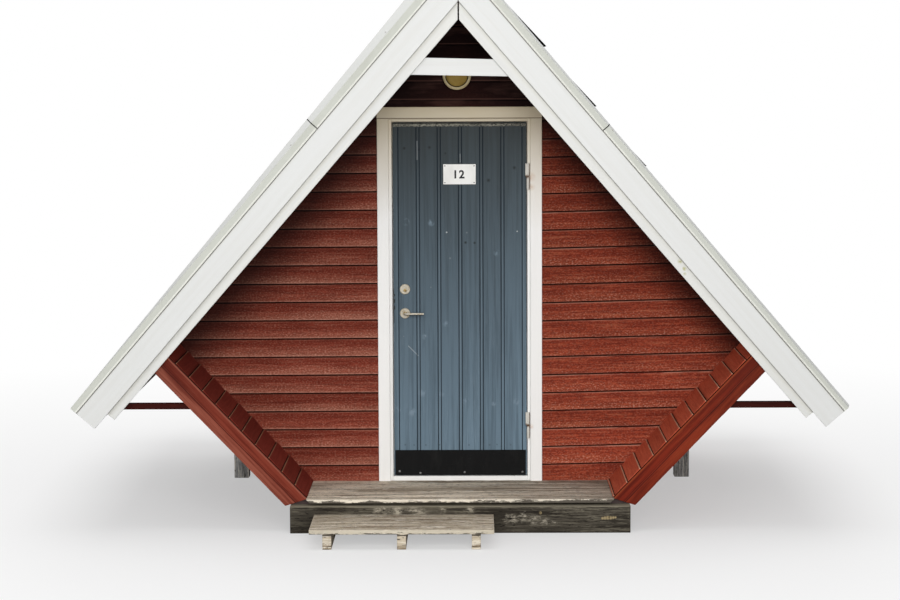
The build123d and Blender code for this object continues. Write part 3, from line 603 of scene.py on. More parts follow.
def satinMetal(name, base, tarnish, rough, metal=0.75, shadeBelow=None):
    # worn satin metal with fine scratches and tarnish in patches, and painted shade below the given height, on a
    # lever's underside
    coat = Coat(name, {"base": base, "tarnish": tarnish}, rough, metal=metal)
    scratch = noise(coat.here, (60.0, 60.0, 900.0), 3.0)
    coat.lay("tarnish", noise(coat.here, 70.0, 5.0), 0.46, 0.66)
    if shadeBelow:
        # painted shade on the underside
        coat.lay(rgb(0.02, 0.014, 0.008), coat.z, shadeBelow + 0.0015, shadeBelow - 0.0015, 0.95)
    link(ramp(scratch, 0.3, 0.7, rough - 0.1, rough + 0.15), coat.shader.inputs["Roughness"])
    coat.bump(scratch, 0.1, 0.0002)
    return coat.done()


hingeLook = {
    "base": rgb(0.64, 0.62, 0.56), "rust": rgb(0.13, 0.062, 0.024), "joints": (1.815, 0.475), "reach": 0.02,
    "sideFrom": 0.369, "sideTo": 0.3725,
}


def rustedPaint(name, look):
    # painted steel that rusts from the joints outwards and along its far side
    coat = Coat(name, look, 0.6)
    near = pick("MINIMUM", [abs(coat.z - middle) for middle in look["joints"]])
    eaten = ramp(noise(coat.here, 120.0, 5.0) - near / look["reach"], -0.15, 0.35)
    share = pick("MAXIMUM", (eaten, ramp(coat.x, look["sideFrom"], look["sideTo"], 0.0, 0.9)))
    coat.lay("rust", share)
    coat.bump(share, 0.4, 0.0004)
    return coat.done()


def plasticCoat(name, base, shade):
    # moulded plastic, sun-yellowed in patches, with a fine orange-peel skin
    coat = Coat(name, {"base": base, "shade": shade}, 0.6, 0.15)
    coat.lay("shade", noise(coat.here, 22.0, 4.0), 0.35, 0.7)
    coat.bump(noise(coat.here, 900.0, 1.0), 0.1, 0.0002)
    return coat


def lampRing(name):
    # cream plastic with a dark line where the diffuser sits
    coat = plasticCoat(name, rgb(0.7, 0.6, 0.36), rgb(0.47, 0.37, 0.185))
    low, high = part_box("lamp_lens")
    off = vector("SUBTRACT", coat.here, ((low.x + high.x) / 2, 0.0, (low.z + high.z) / 2))
    reach = vector("LENGTH", stretched(off, (1.0, 0.0, 1.0)), output="Value")
    gap = abs(reach - ((high.x - low.x) / 2 + 0.0015))
    coat.lay(rgb(0.05, 0.036, 0.014), gap, 0.0045, 0.0025)
    return coat.done()


def foam(name):
    # an old fibre strip, torn pale in places, with painted shade along the top of the leaf
    coat = Coat(name, {"base": rgb(0.026, 0.028, 0.025)}, 0.95)
    patch = noise(stretched(coat.here, (90.0, 90.0, 150.0), (0.0, math.radians(35), 0.0)), 1.0, 5.0, 0.7)
    torn = ramp(noise(coat.here, (4.0, 1.0, 1.0), 2.0), 0.35, 0.55, 0.35, 1.0)
    coat.lay(rgb(0.3, 0.29, 0.235), ramp(patch, 0.4, 0.56) * torn)
    # painted shade under the head of the frame
    coat.lay(rgb(0.006, 0.006, 0.005), calc("SUBTRACT", leafHigh.z, coat.z), 0.01, 0.005, 0.92)
    coat.bump(patch, 0.6, 0.001)
    return coat.done()


leverLow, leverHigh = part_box("lever_handle")
roofBlack = steelCoat("roofBlack", rgb(0.03, 0.03, 0.032), rgb(0.1, 0.096, 0.088), 0.45, 0.35).done()
plateBlack = steelCoat("plateBlack", rgb(0.01, 0.01, 0.012), rgb(0.03, 0.03, 0.03), 0.5, 0.5, 6.0, 0.25).done()
satinSteel = satinMetal("satinSteel", rgb(0.48, 0.44, 0.355), rgb(0.33, 0.265, 0.17), 0.5, 0.25)
leverSteel = satinMetal("leverSteel", rgb(0.62, 0.58, 0.49), rgb(0.4, 0.33, 0.22), 0.42, 0.3,
                        (leverLow.z + leverHigh.z) / 2 - 0.002)
dullBrass = satinMetal("dullBrass", rgb(0.3, 0.21, 0.085), rgb(0.11, 0.075, 0.03), 0.5)
screwZinc = satinMetal("screwZinc", rgb(0.52, 0.52, 0.5), rgb(0.26, 0.23, 0.19), 0.45)
screwDull = satinMetal("screwDull", rgb(0.2, 0.2, 0.195), rgb(0.05, 0.046, 0.04), 0.6, 0.3)
lampCream = lampRing("lampCream")
lampOlive = plasticCoat("lampOlive", rgb(0.4, 0.275, 0.07), rgb(0.33, 0.215, 0.045)).done()
stripFoam = foam("stripFoam")
wallRed, wallRight = redBoards("wallRed", wallPaint), redBoards("wallRight", rightPaint)
# the side boards' paints are a shaded and a lit copy of one paint
sideLeftShaded, sideRightLit = redBoards("sideLeftShaded", shadedLeftSidePaint), redBoards("sideRightLit", litRightSidePaint)
print("materials made for the added pieces:", len(bpy.data.materials))


# Geometry node trees

def newTree(name, floats, **others):
    tree = drawing["tree"] = bpy.data.node_groups.new(name, "GeometryNodeTree")
    kinds = {"Geometry": "Geometry", **dict.fromkeys(floats.split(", "), "Float"), **others}
    for label, kind in kinds.items():
        tree.interface.new_socket(label, in_out="INPUT", socket_type="NodeSocket" + kind)
    tree.interface.new_socket("Geometry", in_out="OUTPUT", socket_type="NodeSocketGeometry")
    return {socket.name: Wire(socket) for socket in add("NodeGroupInput").outputs if socket.name}


def closeTree(geometry, given):
    done = wire("GeometryNodeSetMaterial", {"Geometry": geometry, "Material": given["Finish"]})
    add("NodeGroupOutput", {0: done})
    return drawing["tree"]


def moved(geometry, label, value):
    return wire("GeometryNodeSetPosition", {"Geometry": geometry, label: value})


def position():
    return wire("GeometryNodeInputPosition")


def setOnPoints(points, shape, **turn):
    copies = wire("GeometryNodeInstanceOnPoints", {"Points": points, "Instance": shape, **turn})
    return wire("GeometryNodeRealizeInstances", {0: copies})


def smoothed(geometry):
    return wire("GeometryNodeSetShadeSmooth", {"Geometry": geometry, "Shade Smooth": True})


def boardTree():
    # fills the outline of a thin backing slab with boards: a bevel along each board's upper arris,
    # and a lap by which its lower edge lies back
    given = newTree("fillWithBoards", "Step, First, Gap, Thick, Bevel, Lap, Length, Waver, Lean, Seed",
                    Rows="Int", Pieces="Int", Finish="Material")
    sunk = 0.001                                          # how far the boards reach into the slab
    setBack = -0.0012                                     # the most that a board lies back
    high = given["Step"] - given["Gap"]
    half = high * 0.5
    board = wire("GeometryNodeMeshCube", {"Size": point(given["Length"], high, given["Thick"] + sunk),
                                          "Vertices X": given["Pieces"], "Vertices Y": 3})
    x, y, z = axes(position())
    rise = (abs(y) < 0.001) * (half - given["Bevel"])
    back = (y > half * 0.5) * given["Bevel"] + (y < half * -0.5) * given["Lap"]
    shaped = moved(board, "Offset", point(0.0, rise, (z > 0.0) * calc("MULTIPLY", -1.0, back)))
    rows = wire("GeometryNodeMeshLine", {
        "Count": given["Rows"], "Offset": point(0.0, given["Step"], 0.0),
        "Start Location": point(0.0, given["First"] + half, (given["Thick"] - sunk) * 0.5)})
    uneven = chanceOf(wire("GeometryNodeInputIndex") + given["Seed"]) * setBack
    boards = setOnPoints(moved(rows, "Offset", point(0.0, 0.0, uneven)), shaped)
    here = position()
    seeded = vector("ADD", here, point(given["Seed"], 0.0, 0.0))
    sway = noise(vector("MULTIPLY", seeded, (3.0, 10.0, 10.0)), 1.0, 3.0) - 0.5
    bow = calc("MULTIPLY_ADD", sway, given["Waver"], axes(here)[0] * given["Lean"])
    cut = add("GeometryNodeMeshBoolean", operation="INTERSECT", solver="EXACT")
    link(moved(boards, "Offset", point(0.0, bow, 0.0)), cut.inputs[1])
    link(moved(given["Geometry"], "Position", vector("MULTIPLY", here, (1.0, 1.0, 40.0))), cut.inputs[1])
    both = add("GeometryNodeJoinGeometry", {0: given["Geometry"]})
    link(Wire(cut.outputs[0]), both.inputs[0])
    x, y, z = axes(position())
    count = (y - calc("MULTIPLY_ADD", x, given["Lean"], given["First"])) / given["Step"]
    kept = wire("GeometryNodeStoreNamedAttribute", {
        "Geometry": Wire(both.outputs[0]), "Name": "grain", "Value": point(x, count, z)},
        data_type="FLOAT_VECTOR", domain="POINT")
    return closeTree(kept, given)


def tileTree():
    # a steel sheet pressed as courses of tiles: u runs down the slope, v across, w up
    given = newTree("pressTileSheet", "Start, Course Step, Width, Nose, Wave Step, Wave Height, Phase",
                    Courses="Int", Rows="Int", Columns="Int", Finish="Material")
    lip = 0.01                                            # how far a crest's nose reaches past a valley's
    lines = given["Courses"] * given["Rows"]
    sheet = wire("GeometryNodeMeshGrid", {
        "Size X": 1.0, "Size Y": 1.0, "Vertices X": lines, "Vertices Y": given["Columns"]})
    u, v, w = axes(position())
    line = calc("ROUND", (u + 0.5) * (lines - 1.0))
    course = calc("FLOOR", (line + 0.5) / given["Rows"])
    share = (line - course * given["Rows"]) / (given["Rows"] - 1.0)
    across = v * given["Width"]
    turn = (across / given["Wave Step"] + given["Phase"]) * (2 * math.pi)
    crest = calc("MULTIPLY_ADD", calc("COSINE", turn), 0.5, 0.5)
    # the course under the ridge cap lies almost flat, so that the cap covers it
    shown = calc("MULTIPLY_ADD", course > 0.5, 0.88, 0.12)
    noseOut = calc("POWER", share, 6.0) * shown * (crest * lip)
    along = given["Start"] + (course + share) * given["Course Step"] + noseOut - lip
    rise = calc("POWER", share, 1.2) * given["Nose"] * shown
    height = rise + (crest - 1.0) * given["Wave Height"]
    return closeTree(smoothed(moved(sheet, "Position", point(along, across, height))), given)


def screwTree():
    # a domed screw head on every point
    given = newTree("setScrews", "Radius, Height", Turn="Vector", Finish="Material")
    ball = wire("GeometryNodeMeshUVSphere", {"Segments": 16, "Rings": 8, "Radius": given["Radius"]})
    flat = vector("MULTIPLY", position(), point(1.0, 1.0, given["Height"] / given["Radius"]))
    heads = setOnPoints(given["Geometry"], moved(ball, "Position", flat), Rotation=given["Turn"])
    return closeTree(smoothed(heads), given)


fillWithBoards, pressTileSheet, setScrews = boardTree(), tileTree(), screwTree()


def newPiece(name, mesh, material=None):
    piece = bpy.data.objects.new(name, mesh)
    bpy.context.scene.collection.objects.link(piece)
    if material:
        mesh.materials.clear()
        mesh.materials.append(material)
    return piece


def evaluated(piece):
    bpy.context.view_layer.update()
    return bpy.data.meshes.new_from_object(piece.evaluated_get(bpy.context.evaluated_depsgraph_get()))


def baked(piece):
    # the evaluated mesh takes the place of the modifiers
    mesh = evaluated(piece)
    piece.modifiers.clear()
    piece.data = mesh
    return piece


def meshed(name, curve):
    # a curve or a text as a mesh, before it is placed
    holder = newPiece(name, curve)
    mesh = evaluated(holder)
    bpy.data.objects.remove(holder)
    return mesh


def grown(name, mesh, tree, values):
    piece = newPiece(name, mesh)
    modifier = piece.modifiers.new(tree.name, "NODES")
    modifier.node_group = tree
    for item in tree.interface.items_tree:
        if item.in_out == "INPUT" and item.name in values:
            modifier[item.identifier] = values[item.name]
    return baked(piece)


def finish(piece, body, slot, *nodes):
    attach(piece, body)
    if nodes:
        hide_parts(*nodes)
    return piece


def placedBy(origin, *columns):
    # a turn given by its three columns, and a move
    return Matrix.Translation(Vector(origin)) @ Matrix(columns).transposed().to_4x4()


def panelPlace(origin, rise, out):
    # run, rise and out as the columns of a turn, the run square to both
    rise, out = Vector(rise).normalized(), Vector(out).normalized()
    return placedBy(origin, rise.cross(out), rise, out)


def prism(outline, low, high):
    mesh = bpy.data.meshes.new("outline")
    count = len(outline)
    points = [(u, v, w) for w in (low, high) for u, v in outline]
    faces = [list(range(count))[::-1], list(range(count, 2 * count))]
    faces += [[i, (i + 1) % count, (i + 1) % count + count, i + count] for i in range(count)]
    mesh.from_pydata(points, [], faces)
    area = sum(outline[i - 1][0] * outline[i][1] - outline[i][0] * outline[i - 1][1] for i in range(count))
    if area < 0:
        mesh.flip_normals()
    return mesh


wallBoards = {
    "step": 0.0978, "gap": 0.0045, "thick": 0.0095, "bevel": 0.004, "lap": 0.0, "backing": 0.0015, "sunk": 0.001,
    "waver": 0.0025, "lean": 0.0, "segment": 0.06, "spare": 0.02,
}
lappedBoards = {"thick": 0.011, "bevel": 0.0015, "lap": 0.006}


def boardPanel(name, outline, place, first, material, seed=0.0, **changes):
    look = dict(wallBoards, **changes)
    reach = 2 * max(abs(u) for u, v in outline) + look["spare"]
    rises = [v - look["lean"] * u for u, v in outline]
    start = first + math.floor((min(rises) - first) / look["step"]) * look["step"]
    piece = grown(name, prism(outline, -look["sunk"], look["backing"]), fillWithBoards, {
        **{word.title(): value for word, value in look.items()},
        "Rows": math.ceil((max(rises) - start) / look["step"]), "First": start, "Length": reach,
        "Pieces": int(reach / look["segment"]), "Seed": seed, "Finish": material})
    piece.data.transform(place)
    finish(piece, "root", "red_wall")


def gableBoards():
    # boards stop short of the deck and casing by a small tuck
    tuck, under = 0.002, house["roofUnder"]
    low, knee = house["deckTop"] - tuck, kneeHeight(0.0, house["roofUnder"])
    half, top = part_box("casing_head")[1].x - tuck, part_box("casing_head")[1].z - tuck
    peak = (0.0, slopeHeight(0.0, under))

    def besideDoor(side):
        # the wall between the casing and the side wall, up to the roof
        return [(side * half, low), (side * leanX(low), low), (side * leanX(knee), knee),
                (side * half, slopeHeight(half, under))]

    overDoor = [(-half, top), (half, top), (half, slopeHeight(half, under)), peak,
                (-half, slopeHeight(half, under))]
    whole = [(leanX(low), low), (leanX(knee), knee), peak, (-leanX(knee), knee), (-leanX(low), low)]
    front = panelPlace((0, house["wallY"], 0), (0, 0, 1), (0, -1, 0))
    rear = panelPlace((0, house["rearY"], 0), (0, 0, 1), (0, 1, 0))
    boardPanel("front_siding_left", besideDoor(-1), front, 0.1668, wallRed, step=0.0985, lean=0.005)
    boardPanel("front_siding_right", besideDoor(1), front, 0.1569, wallRight, seed=20.0, step=0.0974, lean=0.024)
    boardPanel("front_siding_top", overDoor, front, 0.1724, wallRed, seed=30.0)
    boardPanel("rear_siding", whole, rear, 0.1724, wallRed, seed=40.0)


gableBoards()
print("gable boards made")


def spanOutline(front, back, low, high, sign):
    # a rectangle from front to back, run measured along the panel's own direction
    ends = sorted((sign * front, sign * back))
    return [(ends[0], low), (ends[1], low), (ends[1], high), (ends[0], high)]


def slantedBoards():
    # boards on the leaning side walls and under the roof, run from front to back
    thick, under, deck = house["wallThick"], house["roofUnder"], house["deckTop"]
    knee, outerKnee = kneeHeight(0.0, under), kneeHeight(thick, under)
    wallHigh = (knee - deck) / sinLean
    outerHigh = (outerKnee - deck + cosLean * thick) / sinLean
    wallLow = (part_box("lower_wall_left")[0].z - deck) / sinLean
    kneeAlong = (leanX(knee) + under * -sinPitch) / cosPitch
    outerAlong = (slopeX(outerKnee, under) - under * sinPitch) / cosPitch
    peakGap = 0.02
    for side, word, first, paint in ((1, "right", 0.012, sideRightLit), (-1, "left", -0.0005, sideLeftShaded)):
        climb, inward = (side * cosLean, 0.0, sinLean), (-side * sinLean, 0.0, cosLean)
        inner = panelPlace((side * house["floorHalf"], 0.0, deck), climb, inward)
        outer = panelPlace((side * leanX(deck, thick), 0.0, deck), climb, (side * sinLean, 0.0, -cosLean))
        for zone, front, back, seed in (("porch", house["sideFront"], house["wallY"], 7.0),
                                        ("rear_porch", house["rearY"], house["sideRear"], 9.0)):
            boardPanel(f"{zone}_side_{word}", spanOutline(front, back, 0.0, wallHigh, -side), inner, first, paint,
                       seed=seed * side, **lappedBoards)
        whole = spanOutline(house["sideFront"], house["sideRear"], wallLow, outerHigh, side)
        boardPanel(f"outer_side_{word}", whole, outer, first, paint, seed=11.0 * side)
        slope = panelPlace((side * under * sinPitch, 0.0, house["bargeApex"] + under * cosPitch),
                           (side * cosPitch, 0.0, -sinPitch), (-side * sinPitch, 0.0, -cosPitch))
        for zone, front, back, low, high, seed in (
            ("porch_ceiling", house["roofFront"], house["wallY"], peakGap, kneeAlong, 13.0),
            ("rear_ceiling", house["rearY"], house["roofRear"], peakGap, kneeAlong, 15.0),
            ("eave", house["roofFront"], house["roofRear"], outerAlong, house["soffitEnd"], 17.0),
        ):
            boardPanel(f"{zone}_{word}", spanOutline(front, back, low, high, side), slope, first, paint,
                       seed=seed * side)


slantedBoards()
print("side and roof boards made")


tiles = {
    "courses": 8, "rows": 7, "perWave": 14, "courseStep": 0.4, "waveStep": 0.1833, "waveHeight": 0.022,
    "nose": 0.021, "sheet": 0.0012, "ridgeOut": 0.1752, "eaveOut": 0.1343, "ridgeGap": 0.003,
}


def roofSheets():
    # the sheets fall a little faster than the barge boards
    low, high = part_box("roof_sheet_right")
    width = high.y - low.y
    pitch = house["roofPitch"] + math.atan((tiles["ridgeOut"] - tiles["eaveOut"]) / house["roofLength"])
    cosSheet, sinSheet = math.cos(pitch), math.sin(pitch)
    for side, word in ((1, "right"), (-1, "left")):
        piece = grown(f"tile_sheet_{word}", bpy.data.meshes.new("tiles"), pressTileSheet, {
            "Courses": tiles["courses"], "Rows": tiles["rows"],
            "Columns": int(width / tiles["waveStep"] * tiles["perWave"]),
            "Start": house["roofLength"] - tiles["courses"] * tiles["courseStep"],
            "Course Step": tiles["courseStep"], "Width": width, "Nose": tiles["nose"],
            "Wave Step": tiles["waveStep"], "Wave Height": tiles["waveHeight"],
            # a crest comes first at the front of the right slope, a valley on the left one
            "Phase": side * width / 2 / tiles["waveStep"] + (0.0 if side > 0 else 0.5), "Finish": roofBlack})
        mesh = bmesh.new()
        mesh.from_mesh(piece.data)
        # what lies past the ridge is cut off before the sheet gets its thickness
        edge = tiles["ridgeGap"] - tiles["ridgeOut"] * sinPitch
        bmesh.ops.bisect_plane(mesh, geom=mesh.verts[:] + mesh.edges[:] + mesh.faces[:],
                               plane_co=(edge / cosSheet, 0, 0), plane_no=(cosSheet, 0, sinSheet), clear_inner=True)
        mesh.to_mesh(piece.data)
        mesh.free()
        solid = piece.modifiers.new("Thickness", "SOLIDIFY")
        solid.thickness, solid.offset = tiles["sheet"], -1.0
        baked(piece)
        down, out = Vector((side * cosSheet, 0, -sinSheet)), Vector((side * sinSheet, 0, cosSheet))
        origin = slopeSpot(side, 0.0, tiles["ridgeOut"], (low.y + high.y) / 2)
        piece.data.transform(placedBy(origin, down, out.cross(down), out))
        finish(piece, "root", "roof_steel", f"roof_sheet_{word}")


roofSheets()
print("roof sheets made")


# screw places on the door are (x, z), on a flashing the way down the slope
screwPlaces = {
    "inset": 0.01, "kick": ((-0.329, 0.2235), (-0.2165, 0.2135), (0.022, 0.2175), (0.3345, 0.2185)),
    "left": (0.36, 1.11, 2.64), "right": (1.01, 1.4, 2.4), "slant": 0.045, "up": 0.25, "hem": 0.005,
}


def screws(name, points, turn, radius, height, material, body, slot):
    mesh = bpy.data.meshes.new(name)
    mesh.from_pydata([tuple(p) for p in points], [], [])
    finish(grown(name, mesh, setScrews, {
        "Radius": radius, "Height": height, "Turn": turn, "Finish": material}), body, slot)


def allScrews():
    facingFront, places = (math.radians(90), 0.0, 0.0), screwPlaces
    low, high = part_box("number_plate")
    corners = [(x, low.y, z) for x in (low.x + places["inset"], high.x - places["inset"])
               for z in (low.z + places["inset"], high.z - places["inset"])]
    screws("plate_screws", corners, facingFront, 0.0032, 0.0016, plateBlack, "door", "kick_steel")
    kick = [(x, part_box("kick_plate")[0].y, z) for x, z in places["kick"]]
    screws("kick_screws", kick, facingFront, 0.006, 0.002, screwDull, "door", "fittings")
    slant, up = places["slant"], places["up"]
    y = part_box("flashing_front_left")[0].y + places["hem"] + slant * up
    for side, word, look in ((-1, "left", leftFlash), (1, "right", rightFlash)):
        rise = look["crest"][0] - look["fold"][0]
        spots = []
        for along in places[word]:
            fold, crest = (look[line][0] + (look[line][1] - look[line][0]) * along / house["roofLength"]
                           for line in ("fold", "crest"))
            spots.append(slopeSpot(side, along, fold + (crest - fold) * up, y))
        turn = Vector((side * sinPitch * slant, -rise, cosPitch * slant)).to_track_quat("Z", "Y").to_euler()
        screws(f"flashing_screws_{word}", spots, tuple(turn), 0.0055, 0.0022, screwZinc, "root", "fittings")


allScrews()


# Lamp, lock and lever

def lathe(name, profile, centre, material, steps=72, facing=-1.0):
    # profile is (radius, distance out) from the centre of the back to the middle of the front
    mesh = bmesh.new()
    rings = []
    for radius, out in profile:
        turn = [2 * math.pi * i / steps for i in range(steps if radius > 1e-6 else 1)]
        rings.append([mesh.verts.new((centre[0] + radius * math.cos(a), centre[1] + facing * out,
                                      centre[2] + radius * math.sin(a))) for a in turn])
    for one, two in zip(rings, rings[1:]):
        for i in range(steps):
            j = (i + 1) % steps
            corners = [one[i % len(one)], one[j % len(one)], two[j % len(two)], two[i % len(two)]]
            mesh.faces.new(list(dict.fromkeys(corners)))
    bmesh.ops.recalc_face_normals(mesh, faces=mesh.faces[:])
    data = bpy.data.meshes.new(name)
    for face in mesh.faces:
        face.smooth = True
    mesh.to_mesh(data)
    mesh.free()
    data.set_sharp_from_angle(angle=math.radians(40))
    return newPiece(name, data, material)


def arc(centreRadius, centreOut, radius, start, end, count=8):
    turn = [math.radians(start + (end - start) * i / count) for i in range(count + 1)]
    return [(centreRadius + radius * math.cos(a), centreOut + radius * math.sin(a)) for a in turn]


lampShape = {
    "foot": 0.004, "footDeep": 0.006, "rim": 0.01, "mouth": 0.0585, "lip": 0.003, "mouthDeep": 0.012, "lens": 0.0565,
    "flare": 0.0005, "seat": 0.011, "edge": 0.002, "shoulder": 0.049, "shoulderRound": 0.008, "dome": 0.0535,
    "domeOut": 0.0085, "domeHigh": 0.0115,
}


def lamp():
    shape = lampShape
    low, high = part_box("lamp_base")
    centre = ((low.x + high.x) / 2, high.y, (low.z + high.z) / 2)
    depth, rim = high.y - low.y, (high.x - low.x) / 2
    base = [(0.0, 0.0), (rim - shape["foot"], 0.0), (rim, shape["footDeep"])]
    base += arc(rim - shape["rim"], depth - shape["rim"], shape["rim"], 0, 90)
    base += arc(shape["mouth"] + shape["lip"], depth - shape["lip"], shape["lip"], 90, 180, 4)
    base += [(shape["mouth"], depth - shape["mouthDeep"]), (0.0, depth - shape["mouthDeep"])]
    finish(lathe("lamp_ring", base, centre, lampCream), "root", "lamp_plastic", "lamp_base")
    dome = [(0.0, depth - shape["seat"]), (shape["lens"], depth - shape["seat"]),
            (shape["lens"] + shape["flare"], depth - shape["edge"])]
    dome += arc(shape["shoulder"], depth + shape["edge"], shape["shoulderRound"], 0, 55, 5)
    dome += [(shape["dome"] * math.cos(math.radians(a)),
              depth + shape["domeOut"] + shape["domeHigh"] * math.sin(math.radians(a))) for a in range(12, 90, 11)]
    dome += [(0.0, depth + shape["domeOut"] + shape["domeHigh"])]
    finish(lathe("lamp_diffuser", dome, centre, lampOlive), "root", "lamp_glass", "lamp_lens")


roseShape = {
    "gap": 0.0003, "foot": 0.35, "round": 0.0045, "well": 0.0165, "wellSlope": 0.001, "wellEdge": 0.0004,
    "wellDeep": 0.0016, "dish": 0.0018, "plug": 0.0085, "plugRound": 0.0015, "plugEdge": 0.0008, "plugDown": 0.006,
}


def roses(name, node, plug):
    # a rounded rose on each face of the leaf; the lock's has a cylinder
    shape = roseShape
    low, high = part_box(node)
    radius, thick = (high.x - low.x) / 2, leafLow.y - low.y - shape["gap"]
    x, z = (low.x + high.x) / 2, (low.z + high.z) / 2
    outline = [(0.0, 0.0), (radius, 0.0), (radius, thick * shape["foot"])]
    outline += arc(radius - shape["round"], thick - shape["round"], shape["round"], 10, 90, 6)
    outline += [(shape["well"], thick - shape["wellEdge"]),
                (shape["well"] - shape["wellSlope"], thick - shape["wellDeep"]), (0.0, thick - shape["dish"])]
    core = [(0.0, 0.0), (shape["plug"], 0.0)]
    core += arc(shape["plug"] - shape["plugRound"], thick - shape["plugEdge"], shape["plugRound"], 0, 90, 4)
    core += [(0.0, thick + shape["wellEdge"])]
    for y, facing, word in ((leafLow.y - shape["gap"], -1.0, "outside"),
                            (leafHigh.y + shape["gap"], 1.0, "inside")):
        rose = lathe(f"{name}_{word}", outline, (x, y, z), satinSteel, 48, facing)
        finish(rose, "door", "fittings", *([node] if word == "outside" else []))
        if plug:
            centre = (x, y, z - shape["plugDown"])
            finish(lathe(f"{name}_cylinder_{word}", core, centre, dullBrass, 32, facing), "door", "fittings")


leverShape = {
    "bar": 0.0064, "axis": 0.0065, "bend": 0.018, "pull": 0.55, "neck": 0.008, "collar": 0.0098,
    "collarRound": 0.0015, "collarOut": 0.0143,
}


def lever():
    # a round bar bent out of the rose and along the door, on both faces
    low, high, shape = leverLow, leverHigh, leverShape
    x, z, bend = low.x + shape["neck"], (low.z + high.z) / 2, shape["bend"]
    for y, facing, word in ((low.y, 1.0, "outside"), (high.y, -1.0, "inside")):
        axis = y + facing * shape["axis"]
        root = leafLow.y if facing > 0 else leafHigh.y
        path = bpy.data.curves.new(f"lever_{word}", "CURVE")
        path.dimensions = "3D"
        line = path.splines.new("BEZIER")
        line.bezier_points.add(3)
        spots = [(x, root), (x, axis + facing * bend), (x + bend, axis), (high.x - shape["axis"], axis)]
        for knot, (along, away) in zip(line.bezier_points, spots):
            knot.co = (along, away, z)
            knot.handle_left_type = knot.handle_right_type = "VECTOR"
        first, second = line.bezier_points[1], line.bezier_points[2]
        first.handle_right_type = second.handle_left_type = "FREE"
        first.handle_right = (first.co.x, first.co.y - facing * shape["pull"] * bend, first.co.z)
        second.handle_left = (second.co.x - shape["pull"] * bend, second.co.y, second.co.z)
        path.bevel_depth, path.bevel_resolution, path.resolution_u = shape["bar"], 8, 10
        path.use_fill_caps = True
        mesh = meshed(f"lever_bar_{word}", path)
        for polygon in mesh.polygons:
            polygon.use_smooth = len(polygon.vertices) == 4
        finish(newPiece(f"lever_bar_{word}", mesh, leverSteel), "lever", "fittings",
               *(["lever_handle"] if facing > 0 else []))
        collar = [(0.0, 0.0), (shape["collar"], 0.0)]
        collar += arc(shape["collar"] - shape["collarRound"], shape["collarOut"] - shape["collarRound"],
                      shape["collarRound"], 0, 90, 4) + [(0.0, shape["collarOut"])]
        finish(lathe(f"lever_collar_{word}", collar, (x, root, z), dullBrass, 32, -facing), "lever", "fittings")


lamp()
roses("lock_rose", "lock_roses", True)
roses("handle_rose", "handle_roses", False)
lever()
print("lamp and door furniture made")


plate = {"number": "12", "height": 0.045, "thick": 0.0006, "spacing": 1.15, "fatter": 0.03}


def numberPlate():
    low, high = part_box("number_plate")
    text = bpy.data.curves.new("digits", "FONT")
    text.body, text.size = plate["number"], 1.0
    text.align_x = text.align_y = "CENTER"
    text.extrude, text.offset = plate["thick"] / 2, plate["fatter"]
    text.space_character = plate["spacing"]
    mesh = meshed("digits", text)
    xs, zs = ([v.co[axis] for v in mesh.vertices] for axis in (0, 1))
    scale = plate["height"] / (max(zs) - min(zs))
    mesh.transform(Matrix.Translation((-(max(xs) + min(xs)) / 2, -(max(zs) + min(zs)) / 2, 0)))
    mesh.transform(Matrix.Diagonal((scale, scale, 1.0, 1.0)))
    centre = ((low.x + high.x) / 2, low.y - plate["thick"] / 2, (low.z + high.z) / 2)
    mesh.transform(Matrix.Translation(centre) @ Matrix.Rotation(math.radians(90), 4, "X"))
    finish(newPiece("plate_number", mesh, plateBlack), "door", "kick_steel")


strip = {
    "count": 260, "rings": 10, "tall": 0.021, "inset": 0.003, "bulge": 0.0035, "down": 0.001, "gap": 0.0003,
    "sunk": 0.001, "grain": 0.009, "ragged": 0.0045, "level": 0.55, "most": 0.006,
}


def weatherStrip():
    # a ragged strip of old sealing along the top of the leaf
    low, high, rings = leafLow, leafHigh, strip["rings"]
    mesh = bmesh.new()
    rows = []
    for i in range(strip["count"] + 1):
        x = low.x + strip["inset"] + (high.x - low.x - 2 * strip["inset"]) * i / strip["count"]
        rows.append([mesh.verts.new((
            x, low.y + strip["sunk"] - strip["bulge"] * math.sin(math.pi * min(j / (rings - 2), 1.0)) - strip["gap"],
            high.z - strip["down"] - strip["tall"] + strip["tall"] * j / (rings - 2) if j < rings - 1
            else high.z - strip["down"] / 2)) for j in range(rings)])
    for one, two in zip(rows, rows[1:]):
        for j in range(rings - 1):
            mesh.faces.new((one[j], two[j], two[j + 1], one[j + 1]))
        mesh.faces.new((one[-1], two[-1], two[0], one[0]))
    mesh.faces.new(rows[0])
    mesh.faces.new(rows[-1][::-1])
    bmesh.ops.recalc_face_normals(mesh, faces=mesh.faces[:])
    data = bpy.data.meshes.new("weather_strip")
    mesh.to_mesh(data)
    mesh.free()
    piece = newPiece("weather_strip", data, stripFoam)
    rough = bpy.data.textures.new("ragged", "CLOUDS")
    rough.noise_scale, rough.noise_depth = strip["grain"], 3
    pushed = piece.modifiers.new("Ragged", "DISPLACE")
    pushed.texture, pushed.strength, pushed.mid_level = rough, strip["ragged"], strip["level"]
    pushed.texture_coords = "LOCAL"
    baked(piece)
    for vertex in piece.data.vertices:
        vertex.co.z = min(vertex.co.z, high.z)
        vertex.co.y = max(vertex.co.y, low.y - strip["most"])
    finish(piece, "door", "white_trim")


numberPlate()
weatherStrip()
print("number plate and strip made")


